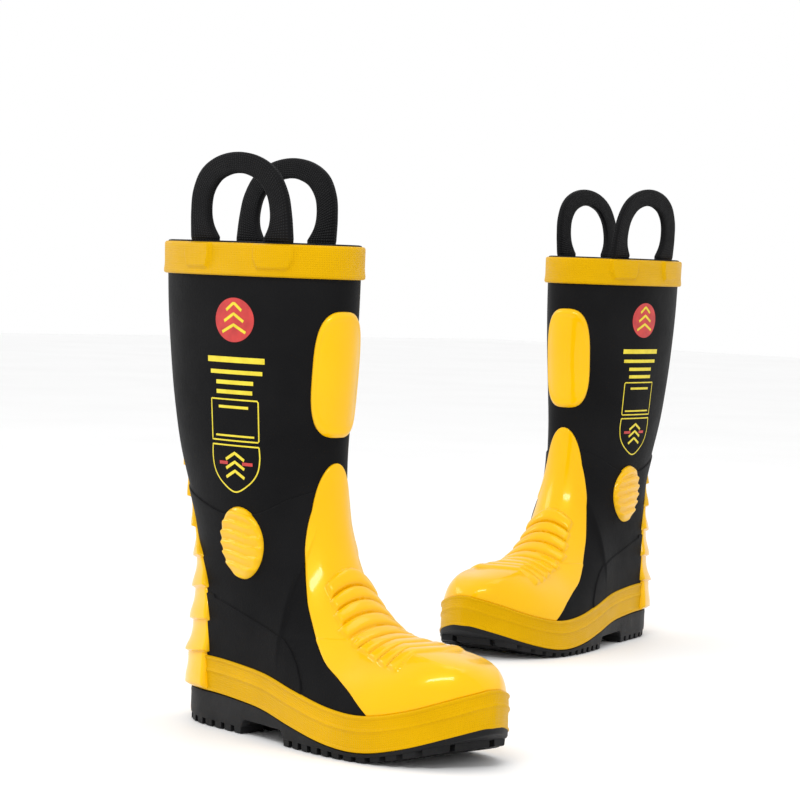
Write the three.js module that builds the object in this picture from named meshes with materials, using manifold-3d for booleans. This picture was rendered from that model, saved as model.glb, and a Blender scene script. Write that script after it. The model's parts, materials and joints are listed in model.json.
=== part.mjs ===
// A pair of rubber fire boots, built up the way a lasted rubber boot is: sole, inner plates, shell, lining,
// then the outer layers and the pull handles. Millimetres, +Z up. The right boot points along +X.
import * as THREE from 'three';
import { mergeVertices } from 'three/addons/utils/BufferGeometryUtils.js';
import Module from 'manifold-3d';

const wasm = await Module();
wasm.setup();

// ---------- driving dimensions, boot frame: x forward from behind the heel, y inward, z up ----------
const BOOT_HEIGHT = 355;
const LEFT_BOOT = { x: -187.5, y: 682.9, turnDeg: 285 };
const GAP = 0.3;
const SHELL_THICKNESS = 4.6;
const LINING_THICKNESS = 1.5;
const FOXING_HEIGHT = 26;
const FOXING_THICKNESS = 3.8;
const LAYER_THICKNESS = 2.3;
const SINK = -3;
const SOLE_GAP = 0.8;
const WELD = 1e-3;
const VAMP_THICKNESS = 3.4;
const GUARD_THICKNESS = 5;
const COLLAR_BOTTOM = 331;
const COLLAR_THICKNESS = 3;
const FOOT_THICKNESS = 2.8;
const HANDLE_THICKNESS = 6.6;
const HANDLE_LEAN_DEG = -5.5;
const HANDLE_TURN_DEG = 7;
const HANDLE_FOOT_SPREAD = 36;
const HANDLE_X = { '-1': 73, 1: 32 };
const HANDLE_Y = { '-1': 39.2, 1: 39.2 };
const PIVOT_Z = BOOT_HEIGHT + HANDLE_THICKNESS / 2 + 0.4;
const SIDES = { lateral: -1, medial: 1 };
const COLUMNS = 24;

// Outlines. Profiles are (x, z), plans are (x, half width), the others are (x or z, value).
const FRONT = [[299, 30], [300.5, 43], [298, 56], [291, 67], [279, 75],
  [258, 78.5], [231, 77], [206, 79.5], [184, 92], [165, 111], [151, 136],
  [143, 165], [140, 200], [141, 235], [143, 275], [144, 315], [144, 355]];
const BACK = [[13, 17], [11, 33], [9, 55], [8, 83], [7, 111], [2, 140], [-9, 170], [-21, 202], [-29, 238],
  [-34, 274], [-38, 312], [-40, 355]];
const PLAN_LATERAL = [[12, 0], [14, 13], [24, 27], [44, 36], [75, 40], [115, 44], [160, 51], [200, 55],
  [232, 54], [262, 45], [284, 29], [296, 12], [300, 0]];
const PLAN_MEDIAL = [[12, 0], [14, 13], [24, 27], [44, 35], [75, 36], [115, 34], [160, 36], [200, 43],
  [232, 46], [262, 42], [284, 29], [296, 13], [300, 0]];
const FEATHER = [[0, 25], [60, 25.5], [100, 23.5], [130, 20.5], [165, 14], [205, 7.5], [235, 6.5], [262, 12],
  [285, 21], [302, 30]];
const SHAFT_HALF_WIDTH = [[15, 38], [55, 38], [95, 36], [135, 35], [170, 37], [215, 41], [265, 45], [305, 47],
  [355, 48]];
const CENTRE_LINE = [[-60, 0], [150, 0], [200, 0.5], [250, 3], [302, 7]];
const BACK_HEIGHT = [[0, 25], [0.15, 38], [0.3, 58], [0.45, 96], [0.6, 160], [0.8, 255], [1, 355]];
const VAMP_EDGE = [[236, 33], [220, 45], [205, 53], [188, 62], [174, 74], [162, 87], [151, 102], [144, 118],
  [139, 131], [135.4, 144], [134.6, 158], [135.9, 171], [137.8, 185], [139.6, 193]];
const SPINE_HALF_WIDTH = [[20, 60], [55, 60], [78, 57], [95, 52], [108, 46], [121, 38], [135, 27],
  [150, 19], [180, 12], [212, 7]];
const SEAM_HEIGHT = [[0, 178], [0.3, 164], [0.5, 157], [0.72, 160], [0.9, 173], [1, 179]];
const OUTSOLE_BOTTOM = [[0, 0], [98, 0], [101, 6], [150, 6], [152, 0], [236, 0], [262, 5], [285, 12],
  [310, 23]];
const HANDLE_OUTER = [[-49.5, 0], [-48.5, 18], [-45.5, 34], [-36.5, 49], [-20.5, 58.5], [0, 62]];
const HANDLE_INNER = [[-22.5, 0], [-28, 9], [-29.5, 19], [-27, 31], [-19.5, 40.5], [-9.5, 45.2], [0, 46.5]];

const YELLOW = { color: 0xf5b50a, roughness: 0.35, metalness: 0 };
const YELLOW_MATT = { color: 0xefb008, roughness: 0.55, metalness: 0 };
const BLACK = { color: 0x1c1c1c, roughness: 0.75, metalness: 0 };
const BLACK_SOLE = { color: 0x17181a, roughness: 0.7, metalness: 0 };
const STEEL = { color: 0x9a9ea3, roughness: 0.4, metalness: 0.9 };
const FOAM = { color: 0x6d6a62, roughness: 0.9, metalness: 0 };
const BOARD = { color: 0x8a6b45, roughness: 0.9, metalness: 0 };
const CLOTH = { color: 0x5c5f63, roughness: 0.95, metalness: 0 };
const INSOLE_CLOTH = { color: 0x3d4147, roughness: 0.95, metalness: 0 };
const PRINT = { color: 0x2a2618, roughness: 0.5, metalness: 0 };

// ---------- small maths ----------
const clamp = (v, a, b) => Math.min(Math.max(v, a), b);
const mix = (a, b, t) => a + (b - a) * t;
const smooth = (a, b, v) => {
  const t = clamp((v - a) / (b - a), 0, 1);
  return t * t * (3 - 2 * t);
};

/** Smooth curve through hand-set points, as a dense list of pairs. */
function curve(points) {
  const spline = new THREE.SplineCurve(points.map(([a, b]) => new THREE.Vector2(a, b)));
  return spline.getPoints((points.length - 1) * 16).map((p) => [p.x, p.y]);
}

/** Linear look-up of column `to` at value v of column `from`, which rises or falls steadily. */
function look(table, v, from = 0, to = 1) {
  const rising = table[table.length - 1][from] > table[0][from];
  let low = 0;
  let high = table.length - 1;
  while (high - low > 1) {
    const mid = (low + high) >> 1;
    if ((table[mid][from] <= v) === rising) low = mid;
    else high = mid;
  }
  const a = table[low];
  const b = table[high];
  const t = clamp((v - a[from]) / (b[from] - a[from] || 1), 0, 1);
  return mix(a[to], b[to], t);
}

const front = curve(FRONT);
const back = curve(BACK);
const planLateral = curve(PLAN_LATERAL);
const planMedial = curve(PLAN_MEDIAL);
const feather = curve(FEATHER);
const shaftWidth = curve(SHAFT_HALF_WIDTH);
const centreLine = curve(CENTRE_LINE);
const backHeight = curve(BACK_HEIGHT);
const tipIndex = front.reduce((best, p, i) => (p[0] > front[best][0] ? i : best), 0);
const waistIndex = front.reduce((best, p, i) => (p[0] < front[best][0] ? i : best), 0);
const footTop = front.slice(tipIndex, waistIndex + 1);
const WALL_HEIGHT = 22;

const frontX = (z) => look(front, z, 1, 0);
const backX = (z) => look(back, z, 1, 0);

/** Half width of the boot at (x, z): a domed foot that blends into a rounded shaft. */
function halfWidth(x, z, side) {
  const wallTop = look(feather, x) + WALL_HEIGHT;
  const xb = backX(z);
  const xf = frontX(z);
  const toe = Math.max(xf, frontX(look(feather, 300) + WALL_HEIGHT));
  let station = x - (xb - 12) * clamp(1 - (x - xb) / 130, 0, 1);
  station += (300 - toe) * clamp((x - 170) / 130, 0, 1) ** 2;
  const plan = look(side > 0 ? planMedial : planLateral, clamp(station, 12, 300));
  const top = x < footTop[footTop.length - 1][0] ? 1e4 : look(footTop, x);
  const rise = clamp((z - wallTop) / Math.max(top - wallTop, 1e-6), 0, 1);
  const foot = plan * Math.sqrt(1 - rise ** 2.1);
  const across = clamp((x - xb) / Math.max(xf - xb, 1e-6), 0, 1);
  const shaft = look(shaftWidth, z) * (1 - Math.abs(2 * across - 1) ** 2.15) ** (1 / 2.15);
  return mix(foot, shaft, smooth(55, 160, z));
}

/** Points along a polyline, evenly spaced by length; also returns the whole length. */
function evenly(points, count) {
  const reach = [0];
  for (let i = 1; i < points.length; i += 1) reach.push(reach[i - 1] + points[i].distanceTo(points[i - 1]));
  const total = reach[reach.length - 1];
  const out = [];
  let k = 0;
  for (let i = 0; i <= count; i += 1) {
    const want = (total * i) / count;
    while (k < points.length - 2 && reach[k + 1] < want) k += 1;
    const t = clamp((want - reach[k]) / (reach[k + 1] - reach[k] || 1), 0, 1);
    out.push(points[k].clone().lerp(points[k + 1], t));
  }
  return { out, total };
}

// ---------- the boot's outer surface, as rings from the feather line (s = 0) to the collar (s = 1) ----------
const RING_ROWS = 120;
const RING_STEPS = 96;
const frontEven = evenly(front.map(([x, z]) => new THREE.Vector3(x, 0, z)), RING_ROWS).out;

function halfRing(row, side) {
  const s = row / RING_ROWS;
  const { x: xf, z: zf } = frontEven[row];
  const zb = look(backHeight, s);
  const xb = backX(zb);
  const points = [];
  for (let i = 0; i <= 160; i += 1) {
    const x = xb + ((xf - xb) * (1 + Math.cos((Math.PI * i) / 160))) / 2;
    const level = mix(zb, zf, (x - xb) / (xf - xb));
    const flat = mix(25, 30, x / 300);
    const z = level + (look(feather, x) - flat) * (1 - smooth(0, 0.28, s));
    points.push(new THREE.Vector3(x, look(centreLine, x) + side * halfWidth(x, z, side), z));
  }
  return evenly(points, RING_STEPS);
}

const halfRings = { 1: [], [-1]: [] };
for (const side of [1, -1]) {
  for (let row = 0; row <= RING_ROWS; row += 1) halfRings[side].push(halfRing(row, side));
}

/** Surface point. f runs from -1 (back, round the lateral side) over 0 (front) to 1 (back, medial side). */
function surface(f, s) {
  const turn = f > 1 ? f - 2 : f < -1 ? f + 2 : f;
  const rings = halfRings[turn < 0 ? -1 : 1];
  const row = clamp(s, 0, 1) * RING_ROWS;
  const step = Math.abs(turn) * RING_STEPS;
  const i = Math.min(Math.floor(row), RING_ROWS - 1);
  const j = Math.min(Math.floor(step), RING_STEPS - 1);
  const low = rings[i].out[j].clone().lerp(rings[i].out[j + 1], step - j);
  const high = rings[i + 1].out[j].clone().lerp(rings[i + 1].out[j + 1], step - j);
  return low.lerp(high, row - i);
}

/** Surface point pushed outward by `lift` along the surface's normal. */
function raised(f, s, lift) {
  const around = surface(f + 0.02, s).sub(surface(f - 0.02, s));
  const up = surface(f, Math.min(s + 0.012, 1)).sub(surface(f, Math.max(s - 0.012, 0)));
  const normal = around.cross(up).normalize();
  return surface(f, s).addScaledVector(normal, lift);
}

/** Ring position s at which the surface, at f, meets a test that turns positive going up. */
function solveUp(f, test) {
  let low = 0;
  let high = 1;
  for (let i = 0; i < 18; i += 1) {
    const mid = (low + high) / 2;
    if (test(surface(f, mid)) > 0) high = mid;
    else low = mid;
  }
  return (low + high) / 2;
}
const sAtZ = (f, z) => solveUp(f, (p) => p.z - z);
const sAboveFeather = (f, height) => solveUp(f, (p) => p.z - look(feather, p.x) - height);

/** Point over the side of the boot at (x, z), pushed outward by `lift`. */
function onSide(x, z, side, lift) {
  const at = (u, w) => new THREE.Vector3(u, look(centreLine, u) + side * halfWidth(u, w, side), w);
  const along = at(x + 1, z).sub(at(x - 1, z));
  const up = at(x, z + 1).sub(at(x, z - 1));
  const normal = side > 0 ? up.cross(along) : along.cross(up);
  return at(x, z).addScaledVector(normal.normalize(), lift);
}

// ---------- solids ----------
/** Closed solid from vertices and triangles, turned so that its faces point out. */
function solid(vertices, triangles) {
  const geometry = new THREE.BufferGeometry();
  const positions = vertices.flatMap((p) => p.toArray());
  geometry.setAttribute('position', new THREE.Float32BufferAttribute(positions, 3));
  geometry.setIndex(triangles.flat());
  return fromGeometry(geometry);
}

function fromGeometry(source, weld = 1e-4) {
  const bare = source.clone();
  bare.deleteAttribute('normal');
  bare.deleteAttribute('uv');
  const merged = mergeVertices(bare, weld);
  const position = merged.getAttribute('position');
  const index = Array.from(merged.index.array);
  const keep = [];
  let volume = 0;
  const [a, b, c] = [new THREE.Vector3(), new THREE.Vector3(), new THREE.Vector3()];
  for (let i = 0; i < index.length; i += 3) {
    const [p, q, r] = index.slice(i, i + 3);
    if (p === q || q === r || p === r) continue;
    keep.push([p, q, r]);
    a.fromBufferAttribute(position, p);
    b.fromBufferAttribute(position, q);
    c.fromBufferAttribute(position, r);
    volume += a.dot(b.cross(c));
  }
  const facing = volume < 0 ? keep.map(([p, q, r]) => [p, r, q]) : keep;
  return new wasm.Manifold(new wasm.Mesh({
    numProp: 3,
    vertProperties: new Float32Array(position.array),
    triVerts: new Uint32Array(facing.flat()),
  }));
}

/** Solid through a run of closed rings, capped at both ends by strips; quads split alike on both skins. */
function loft(rings, innerFrom = rings.length) {
  const n = rings[0].length;
  const triangles = [];
  const quad = (a, b, c, d) => triangles.push([a, b, c], [a, c, d]);
  for (let r = 0; r < rings.length - 1; r += 1) {
    for (let i = 0; i < n; i += 1) {
      const j = (i + 1) % n;
      if (r < innerFrom) quad(r * n + i, r * n + j, (r + 1) * n + j, (r + 1) * n + i);
      else quad(r * n + j, (r + 1) * n + j, (r + 1) * n + i, r * n + i);
    }
  }
  const cap = (base, flip) => {
    for (let k = 0; k < n / 2; k += 1) {
      const strip = [k, k + 1, n - k - 1, (n - k) % n];
      const [a, b, c, d] = (flip ? strip.reverse() : strip).map((v) => base + v);
      quad(a, b, c, d);
    }
  };
  cap(0, true);
  cap((rings.length - 1) * n, false);
  return solid(rings.flat(), triangles);
}

/** Solid sheet between two grids of points; `closed` joins the last column to the first. */
function sheet(rows, columns, innerAt, outerAt, closed = false) {
  const width = closed ? columns : columns + 1;
  const vertices = [];
  for (const at of [innerAt, outerAt]) {
    for (let r = 0; r <= rows; r += 1) {
      for (let c = 0; c < width; c += 1) vertices.push(at(r / rows, c / columns));
    }
  }
  const layer = (rows + 1) * width;
  const triangles = [];
  const quad = (a, b, c, d) => triangles.push([a, b, c], [a, c, d]);
  const next = (c) => (c + 1) % width;
  const count = closed ? width : width - 1;
  for (let r = 0; r < rows; r += 1) {
    for (let c = 0; c < count; c += 1) {
      const corners = [r * width + c, r * width + next(c), (r + 1) * width + next(c), (r + 1) * width + c];
      quad(corners[0], corners[3], corners[2], corners[1]);
      quad(...corners.map((v) => v + layer));
    }
  }
  for (let c = 0; c < count; c += 1) {
    const top = rows * width;
    quad(c, next(c), next(c) + layer, c + layer);
    quad(top + next(c), top + c, top + c + layer, top + next(c) + layer);
  }
  if (!closed) {
    for (let r = 0; r < rows; r += 1) {
      const near = r * width;
      const far = r * width + columns;
      quad(near + width, near, near + layer, near + width + layer);
      quad(far, far + width, far + width + layer, far + layer);
    }
  }
  return solid(vertices, triangles);
}

/** Sheet laid on the boot's surface: place(row, column) gives {f, s}; the outer lift may vary. */
function laid(rows, columns, place, inner, outer, closed = false) {
  const lift = (value, r, c) => (typeof value === 'function' ? value(r, c) : value);
  const at = (value) => (r, c) => {
    const { f, s } = place(r, c);
    return raised(f, s, lift(value, r, c));
  };
  return sheet(rows, columns, at(inner), at(outer), closed);
}

// ---------- shell, lining and what lies between them ----------
const SHELL_ROWS = [0, 0.06, 0.12, 0.17, 0.225, 0.3, 0.38, 0.48, 0.6, 0.78, 1];

/** Ring share of grid column i: columns crowd towards the toe and the heel, where the boot curves most. */
function gridShare(i) {
  const turn = (2 * ((i + COLUMNS) % COLUMNS)) / COLUMNS;
  const half = turn > 1 ? 2 - turn : turn;
  const share = half - 0.075 * Math.sin(2 * Math.PI * half);
  return turn > 1 ? -share : share;
}

/** Closed ring of points at s, kept at least `floor` above the feather line. */
function ringAt(s, lift, floor = 0) {
  const points = [];
  for (let i = 0; i < COLUMNS; i += 1) {
    const p = raised(gridShare(i), s, lift);
    p.z = Math.max(p.z, look(feather, p.x) + floor);
    points.push(p);
  }
  return points;
}

/** Level ring over the sole: inset from the feather line, `rise` above it. */
function soleRing(inset, rise) {
  return ringAt(0, -inset).map((p) => new THREE.Vector3(p.x, p.y, look(feather, p.x) + rise));
}

/** Boot-shaped cup between two lifts, its floor between two heights above the feather line. */
function cup(outer, inner, floorLow, floorHigh, rows) {
  const walls = rows.slice(1);
  const outerWalls = walls.map((s, i) => ringAt(s, outer, floorLow + 0.5 * (i + 1)));
  const outside = [soleRing(-outer, floorLow), ...outerWalls];
  const inside = walls.map((s, i) => ringAt(s, inner, floorHigh + 0.5 * (i + 1))).reverse();
  return loft([...outside, ...inside, soleRing(-inner, floorHigh)], outside.length);
}

const TOE_HALF = 3;
const TOE_ROWS = SHELL_ROWS.filter((s) => s <= 0.23);
const HEEL_ROWS = SHELL_ROWS.filter((s) => s <= 0.3);

/** Sheet on the shell's own grid lines, `half` columns each side of the front or the back, trimmed a little. */
function gridSheet(rows, half, aroundBack, inner, outer, floor, trim) {
  const place = (value) => (r, c) => {
    const row = Math.round(r * (rows.length - 1));
    const column = Math.round((c * 2 - 1) * half) * trim + (aroundBack ? COLUMNS / 2 : 0);
    const p = raised(gridShare(column), rows[row] * trim, value);
    if (row === 0) p.z += floor;
    return p;
  };
  return sheet(rows.length - 1, half * 2, place(inner), place(outer));
}
const HEEL_HALF = 3;
function innerPlate(rows, half, atBack, grow) {
  return gridSheet(rows, half, atBack, -4.2 - grow, -2.4 + grow, 3.4 - 1.5 * grow, grow ? 1 : 0.985);
}

const toePlate = (grow) => innerPlate(TOE_ROWS, TOE_HALF, false, grow);
const heelPlate = (grow) => innerPlate(HEEL_ROWS, HEEL_HALF, true, grow);

function upperShell() {
  return cup(0, -SHELL_THICKNESS, GAP, 2.6, SHELL_ROWS).subtract(toePlate(0.6).add(toePlate(0))).subtract(heelPlate(0.6));
}

/** Flat layer under the foot. */
function solePlate(inset, low, high) {
  return loft([soleRing(inset, low), soleRing(inset, high)]);
}

// ---------- sole ----------
/** Solid across the whole sole width from an outline drawn in x and z. */
function slab(outline) {
  const shape = new THREE.Shape(outline.map(([x, z]) => new THREE.Vector2(x, z)));
  const geometry = new THREE.ExtrudeGeometry(shape, { depth: 160, bevelEnabled: false });
  geometry.rotateX(Math.PI / 2);
  geometry.translate(0, 80, 0);
  return fromGeometry(geometry);
}

/** Rubber outsole: the plan of the foot, its underside cut into heel and forefoot lugs. */
function outsole() {
  const underside = [];
  const lugs = [[4, 98, 13.5], [151, 304, 12.6]];
  const floorAt = (x) => look(OUTSOLE_BOTTOM, x);
  const depthAt = (x) => Math.min(4, (look(feather, x) - floorAt(x)) * 0.55);
  for (const [start, end, pitch] of lugs) {
    for (let x = start; x + pitch * 0.6 <= end; x += pitch) {
      const stop = x + pitch * 0.62;
      underside.push([x, floorAt(x) + depthAt(x)], [x + 0.5, floorAt(x + 0.5)]);
      underside.push([stop - 0.5, floorAt(stop - 0.5)], [stop, floorAt(stop) + depthAt(stop)]);
    }
  }
  const topLine = [];
  for (let x = 306; x >= 0; x -= 9) topLine.push([x, look(feather, x) - SOLE_GAP]);
  const profile = slab([...underside, [306, 26], ...topLine, [0, 4]]);
  const wall = ringAt(0, FOXING_THICKNESS);
  const low = wall.map((p) => new THREE.Vector3(p.x, p.y, -2));
  const high = wall.map((p) => new THREE.Vector3(p.x, p.y, 60));
  return loft([low, high]).intersect(profile);
}

/** Yellow band that wraps the joint between sole and upper, with a ridge along its top edge. */
function foxingBand(grow) {
  const heights = [grow ? -1 : 0.2, 20, 22, 24.6, FOXING_HEIGHT + grow];
  const lifts = [0, 0, 0, 0.9, 0.5];
  const place = (r, c) => {
    const f = gridShare(Math.round(c * COLUMNS));
    return { f, s: sAboveFeather(f, heights[Math.round(r * 4)]) };
  };
  const outer = (r) => FOXING_THICKNESS + lifts[Math.round(r * 4)] + grow;
  return laid(4, COLUMNS, place, SINK, outer, true);
}

// ---------- outer layers ----------
/** Edge of the vamp as a share of the half ring, against ring position. */
function vampEdgeTable(side) {
  const rows = VAMP_EDGE.map(([x, z]) => {
    const aim = new THREE.Vector3(x, look(centreLine, x) + side * halfWidth(x, z, side), z);
    let best = { gap: 1e9 };
    for (let row = 0; row <= RING_ROWS; row += 1) {
      for (let step = 0; step <= 60; step += 1) {
        const gap = halfRings[side][row].out[step].distanceTo(aim);
        if (gap < best.gap) best = { gap, row, step };
      }
    }
    return [best.row / RING_ROWS, best.step / RING_STEPS];
  });
  return [...rows, [rows[rows.length - 1][0] + 0.012, 0.012]];
}
const vampEdges = { 1: vampEdgeTable(1), [-1]: vampEdgeTable(-1) };
const vampTop = vampEdges[-1][vampEdges[-1].length - 1][0];
const halfLength = (side, s) => halfRings[side][Math.round(clamp(s, 0, 1) * RING_ROWS)].total;

/** Ring share at the vamp's edge, moved by `spread` millimetres away from the front. */
const vampEdge = (side, s, spread) => look(vampEdges[side], s) + spread / halfLength(side, s);

function vampSheet(spread, inner, outer) {
  const place = (r, c) => {
    const side = c < 0.5 ? -1 : 1;
    const across = side * Math.abs(c * 2 - 1) ** 1.35;
    const up = r - 0.09 * Math.sin(2 * Math.PI * r);
    let s = 0.1;
    for (let i = 0; i < 6; i += 1) {
      const low = sAboveFeather(vampEdge(side, s, spread) * across, FOXING_HEIGHT + GAP - spread);
      s = mix(low, vampTop + spread * 0.003, up);
    }
    return { f: vampEdge(side, s, spread) * across, s };
  };
  return laid(11, 12, place, inner, outer);
}

/** Raised cross ribs over the instep, long at the top and shorter towards the toe. */
function vampRibs() {
  const ribs = [];
  const count = 9;
  for (let k = 0; k < count; k += 1) {
    const share = k / (count - 1);
    const s = mix(0.425, 0.275, share ** 0.9);
    const reach = mix(0.155, 0.085, share);
    const half = mix(0.0062, 0.0044, share);
    const place = (r, c) => ({ f: (c * 2 - 1) * reach, s: s + (r * 2 - 1) * half });
    const crown = (r, c) => (r < 0.1 || r > 0.9 ? 1.8 : VAMP_THICKNESS + (c > 0.1 && c < 0.9 ? 2.4 : 0.6));
    ribs.push(laid(2, 3, place, 1, crown));
  }
  return ribs;
}

/** Quarter layer: from one vamp edge round the heel to the other, up to the ankle seam. */
function ankleSheet(spread, inner, outer) {
  const place = (r, c) => {
    const around = c * 2 - 1;
    const side = around < 0 ? -1 : 1;
    const share = Math.abs(around);
    let s = 0.2;
    let f = 0.5;
    for (let i = 0; i < 6; i += 1) {
      f = mix(1, vampEdge(side, s, 1 - spread), share);
      const low = sAboveFeather(f, FOXING_HEIGHT + GAP + 0.2 - spread);
      s = mix(low, sAtZ(f, look(SEAM_HEIGHT, share) + spread), r);
    }
    return { f: side * f, s };
  };
  return laid(5, 16, (r, c) => place(r, 1 - c), inner, outer);
}

/** Oval pad centred at (x, z) on one side of the boot. */
function ovalOnSide(cx, cz, rx, rz, side, spread, inner, outer) {
  const at = (value) => (r, c) => {
    const v = mix(-0.985, 0.985, r);
    const half = Math.sqrt(1 - v * v) * (rx + spread);
    const x = cx + (c * 2 - 1) * half - (v * rz) * 0.2;
    return onSide(x, cz + v * (rz + spread), side, typeof value === 'function' ? value(r, c) : value);
  };
  return sheet(12, 2, at(inner), at(outer));
}

/** Ankle guard with cross ribs. */
function ankleGuard(side) {
  const ribbed = (r, c) => {
    const edge = Math.abs(r * 2 - 1) > 0.95 || c < 0.1 || c > 0.9;
    return GUARD_THICKNESS - (edge ? 0.9 : 0) + (Math.round(r * 12) % 2 ? 1.2 : 0);
  };
  return ovalOnSide(82, 137, 22, 26, side, 0, SINK, ribbed);
}

/** Oval shin guard on the front of the shaft. */
function shinGuard() {
  const [low, high] = [217, 308];
  const place = (r, c) => {
    const v = mix(-0.985, 0.985, r);
    const z = mix(low, high, (v + 1) / 2);
    const half = (1 - Math.abs(v) ** 3) ** (1 / 3) * 23;
    const s = sAtZ(0, z);
    return { f: ((c * 2 - 1) * half) / halfLength(1, s), s };
  };
  const crown = (r, c) => (Math.abs(r * 2 - 1) > 0.95 || c < 0.1 || c > 0.9 ? 2.9 : 3.8);
  return laid(8, 4, place, SINK, crown);
}

/** Overlapping scales up the back of the boot, from the sole to the calf. */
function heelSpine() {
  const [low, high] = [26, 208];
  const scales = 8;
  const heights = [];
  for (let k = 0; k < scales; k += 1) {
    const step = (high - low) / scales;
    heights.push([low + k * step + (k ? 1.2 : 0), 2.6], [low + (k + 0.82) * step, 0.2]);
  }
  heights.push([high, 0]);
  const place = (r, c) => {
    const z = heights[Math.round(r * (heights.length - 1))][0];
    const s = sAtZ(1, z);
    const half = look(SPINE_HALF_WIDTH, z);
    const offset = ((c * 2 - 1) * half) / halfLength(1, s);
    const f = 1 + offset;
    return { f: f > 1 ? f - 2 : f, s: clamp(s, 0.002, 1) };
  };
  const outer = (r, c) => {
    const [z, scale] = heights[Math.round(r * (heights.length - 1))];
    const base = mix(6.2, 4.2, smooth(50, 62, z));
    const edge = c < 0.1 || c > 0.9 ? 1.2 : 0;
    return base + scale - edge;
  };
  return laid(heights.length - 1, 4, place, SINK, outer);
}

/** Patch under or in the collar at one handle foot. */
function footPatch(side, which, spread, inner, outer) {
  const cx = HANDLE_X[side] + which * HANDLE_FOOT_SPREAD;
  const at = (lift) => (r, c) => {
    const narrow = r < 0.2 ? 0.8 : 1;
    const x = cx + (c * 2 - 1) * (13.5 * narrow + spread);
    return onSide(x, mix(336.5 - spread, BOOT_HEIGHT - (spread > 0 ? 0 : GAP), r), side, lift);
  };
  return sheet(3, 3, at(inner), at(outer));
}

function collarBand() {
  const heights = [COLLAR_BOTTOM, COLLAR_BOTTOM + 3, BOOT_HEIGHT - 1.5, BOOT_HEIGHT];
  const lifts = [COLLAR_THICKNESS + 0.5, COLLAR_THICKNESS, COLLAR_THICKNESS, COLLAR_THICKNESS];
  const place = (r, c) => {
    const f = gridShare(Math.round(c * COLUMNS));
    return { f, s: sAtZ(f, heights[Math.round(r * 3)]) };
  };
  let band = laid(3, COLUMNS, place, GAP + 0.1, (r) => lifts[Math.round(r * 3)], true);
  for (const side of [1, -1]) {
    for (const which of [1, -1]) {
      band = band.add(footPatch(side, which, 2.5, 1.2, FOOT_THICKNESS + 2.4));
    }
  }
  for (const side of [1, -1]) {
    for (const which of [1, -1]) {
      band = band.subtract(footPatch(side, which, 0.45, SINK, FOOT_THICKNESS + GAP + 0.1));
    }
  }
  return band;
}

// ---------- handles ----------
/** Moulded pull loop standing on the collar, its two feet rounded about the pivot line. */
function handle(side) {
  const mirrored = (points) => [...points, ...points.slice(0, -1).reverse().map(([x, z]) => [-x, z])];
  const outline = [...mirrored(HANDLE_OUTER), ...mirrored(HANDLE_INNER).reverse()];
  const shape = new THREE.Shape(outline.map(([x, z]) => new THREE.Vector2(x, z)));
  const plate = new THREE.ExtrudeGeometry(shape, { depth: HANDLE_THICKNESS, bevelEnabled: false });
  plate.translate(0, 0, -HANDLE_THICKNESS / 2);
  plate.rotateX(Math.PI / 2);
  let body = fromGeometry(plate);
  for (const foot of [-1, 1]) {
    const roll = new THREE.CylinderGeometry(HANDLE_THICKNESS / 2, HANDLE_THICKNESS / 2, 27, 12);
    roll.rotateZ(Math.PI / 2);
    roll.translate(foot * HANDLE_FOOT_SPREAD, 0, 0);
    body = body.add(fromGeometry(roll));
  }
  const placed = body.rotate([side * HANDLE_LEAN_DEG, 0, HANDLE_TURN_DEG]);
  return placed.translate([HANDLE_X[side], side * HANDLE_Y[side], PIVOT_Z]);
}

/** Thin transfer on the lateral side of the shaft. */
function sidePrint() {
  const at = (lift) => (r, c) => onSide(mix(46, 104, c), mix(184, 316, r), -1, lift);
  return sheet(5, 3, at(SINK), at(1.5));
}

// ---------- one boot ----------
function bootPieces() {
  const shellGrown = cup(GAP, -7, -1, 4, SHELL_ROWS);
  const quarterGrown = ankleSheet(0.35, SINK, LAYER_THICKNESS + GAP);
  const foxingGrown = foxingBand(0.35);
  const vampGrown = vampSheet(0.35, SINK, VAMP_THICKNESS + GAP);
  const seat = (piece, ...under) => under.reduce((body, cutter) => body.subtract(cutter), piece);
  const vamp = vampRibs().reduce((body, rib) => body.add(rib), vampSheet(0, SINK, VAMP_THICKNESS));
  const guard = (side) => seat(ankleGuard(side), shellGrown, quarterGrown);
  const pieces = [
    ['outsole', seat(outsole(), foxingGrown), BLACK_SOLE],
    ['foxing_band', seat(foxingBand(0), shellGrown), YELLOW_MATT],
    ['upper_shell', upperShell(), BLACK],
    ['steel_toe_cap', toePlate(0), STEEL],
    ['heel_counter', heelPlate(0), BOARD],
    ['steel_midsole', solePlate(6.2, 3, 4.2), STEEL],
    ['filler_sole', solePlate(6.2, 4.6, 6.2), FOAM],
    ['insole_board', solePlate(6.2, 6.6, 8.2), BOARD],
    ['lining', cup(-5.1, -5.1 - LINING_THICKNESS, 8.6, 10, SHELL_ROWS), CLOTH],
    ['insole', solePlate(7.6, 10.5, 14.5), INSOLE_CLOTH],
    ['quarter_layer', seat(ankleSheet(0, SINK, LAYER_THICKNESS), shellGrown, vampGrown, foxingGrown), BLACK],
    ['vamp_overlay', seat(vamp, shellGrown, foxingGrown), YELLOW],
    ['shin_guard', seat(shinGuard(), shellGrown), YELLOW],
    ['ankle_guard_lateral', guard(SIDES.lateral), YELLOW],
    ['ankle_guard_medial', guard(SIDES.medial), YELLOW],
    ['heel_spine', seat(heelSpine(), shellGrown, quarterGrown, foxingGrown), YELLOW],
    ['side_print', seat(sidePrint(), shellGrown), PRINT],
    ['collar_band', collarBand(), YELLOW_MATT],
  ];
  for (const [name, side] of Object.entries(SIDES)) {
    pieces.push([`handle_${name}`, handle(side), BLACK]);
    for (const [end, which] of [['front', 1], ['back', -1]]) {
      const foot = footPatch(side, which, 0, SINK, FOOT_THICKNESS);
      pieces.push([`handle_foot_${name}_${end}`, seat(foot, shellGrown), BLACK]);
    }
  }
  return pieces;
}

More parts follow.
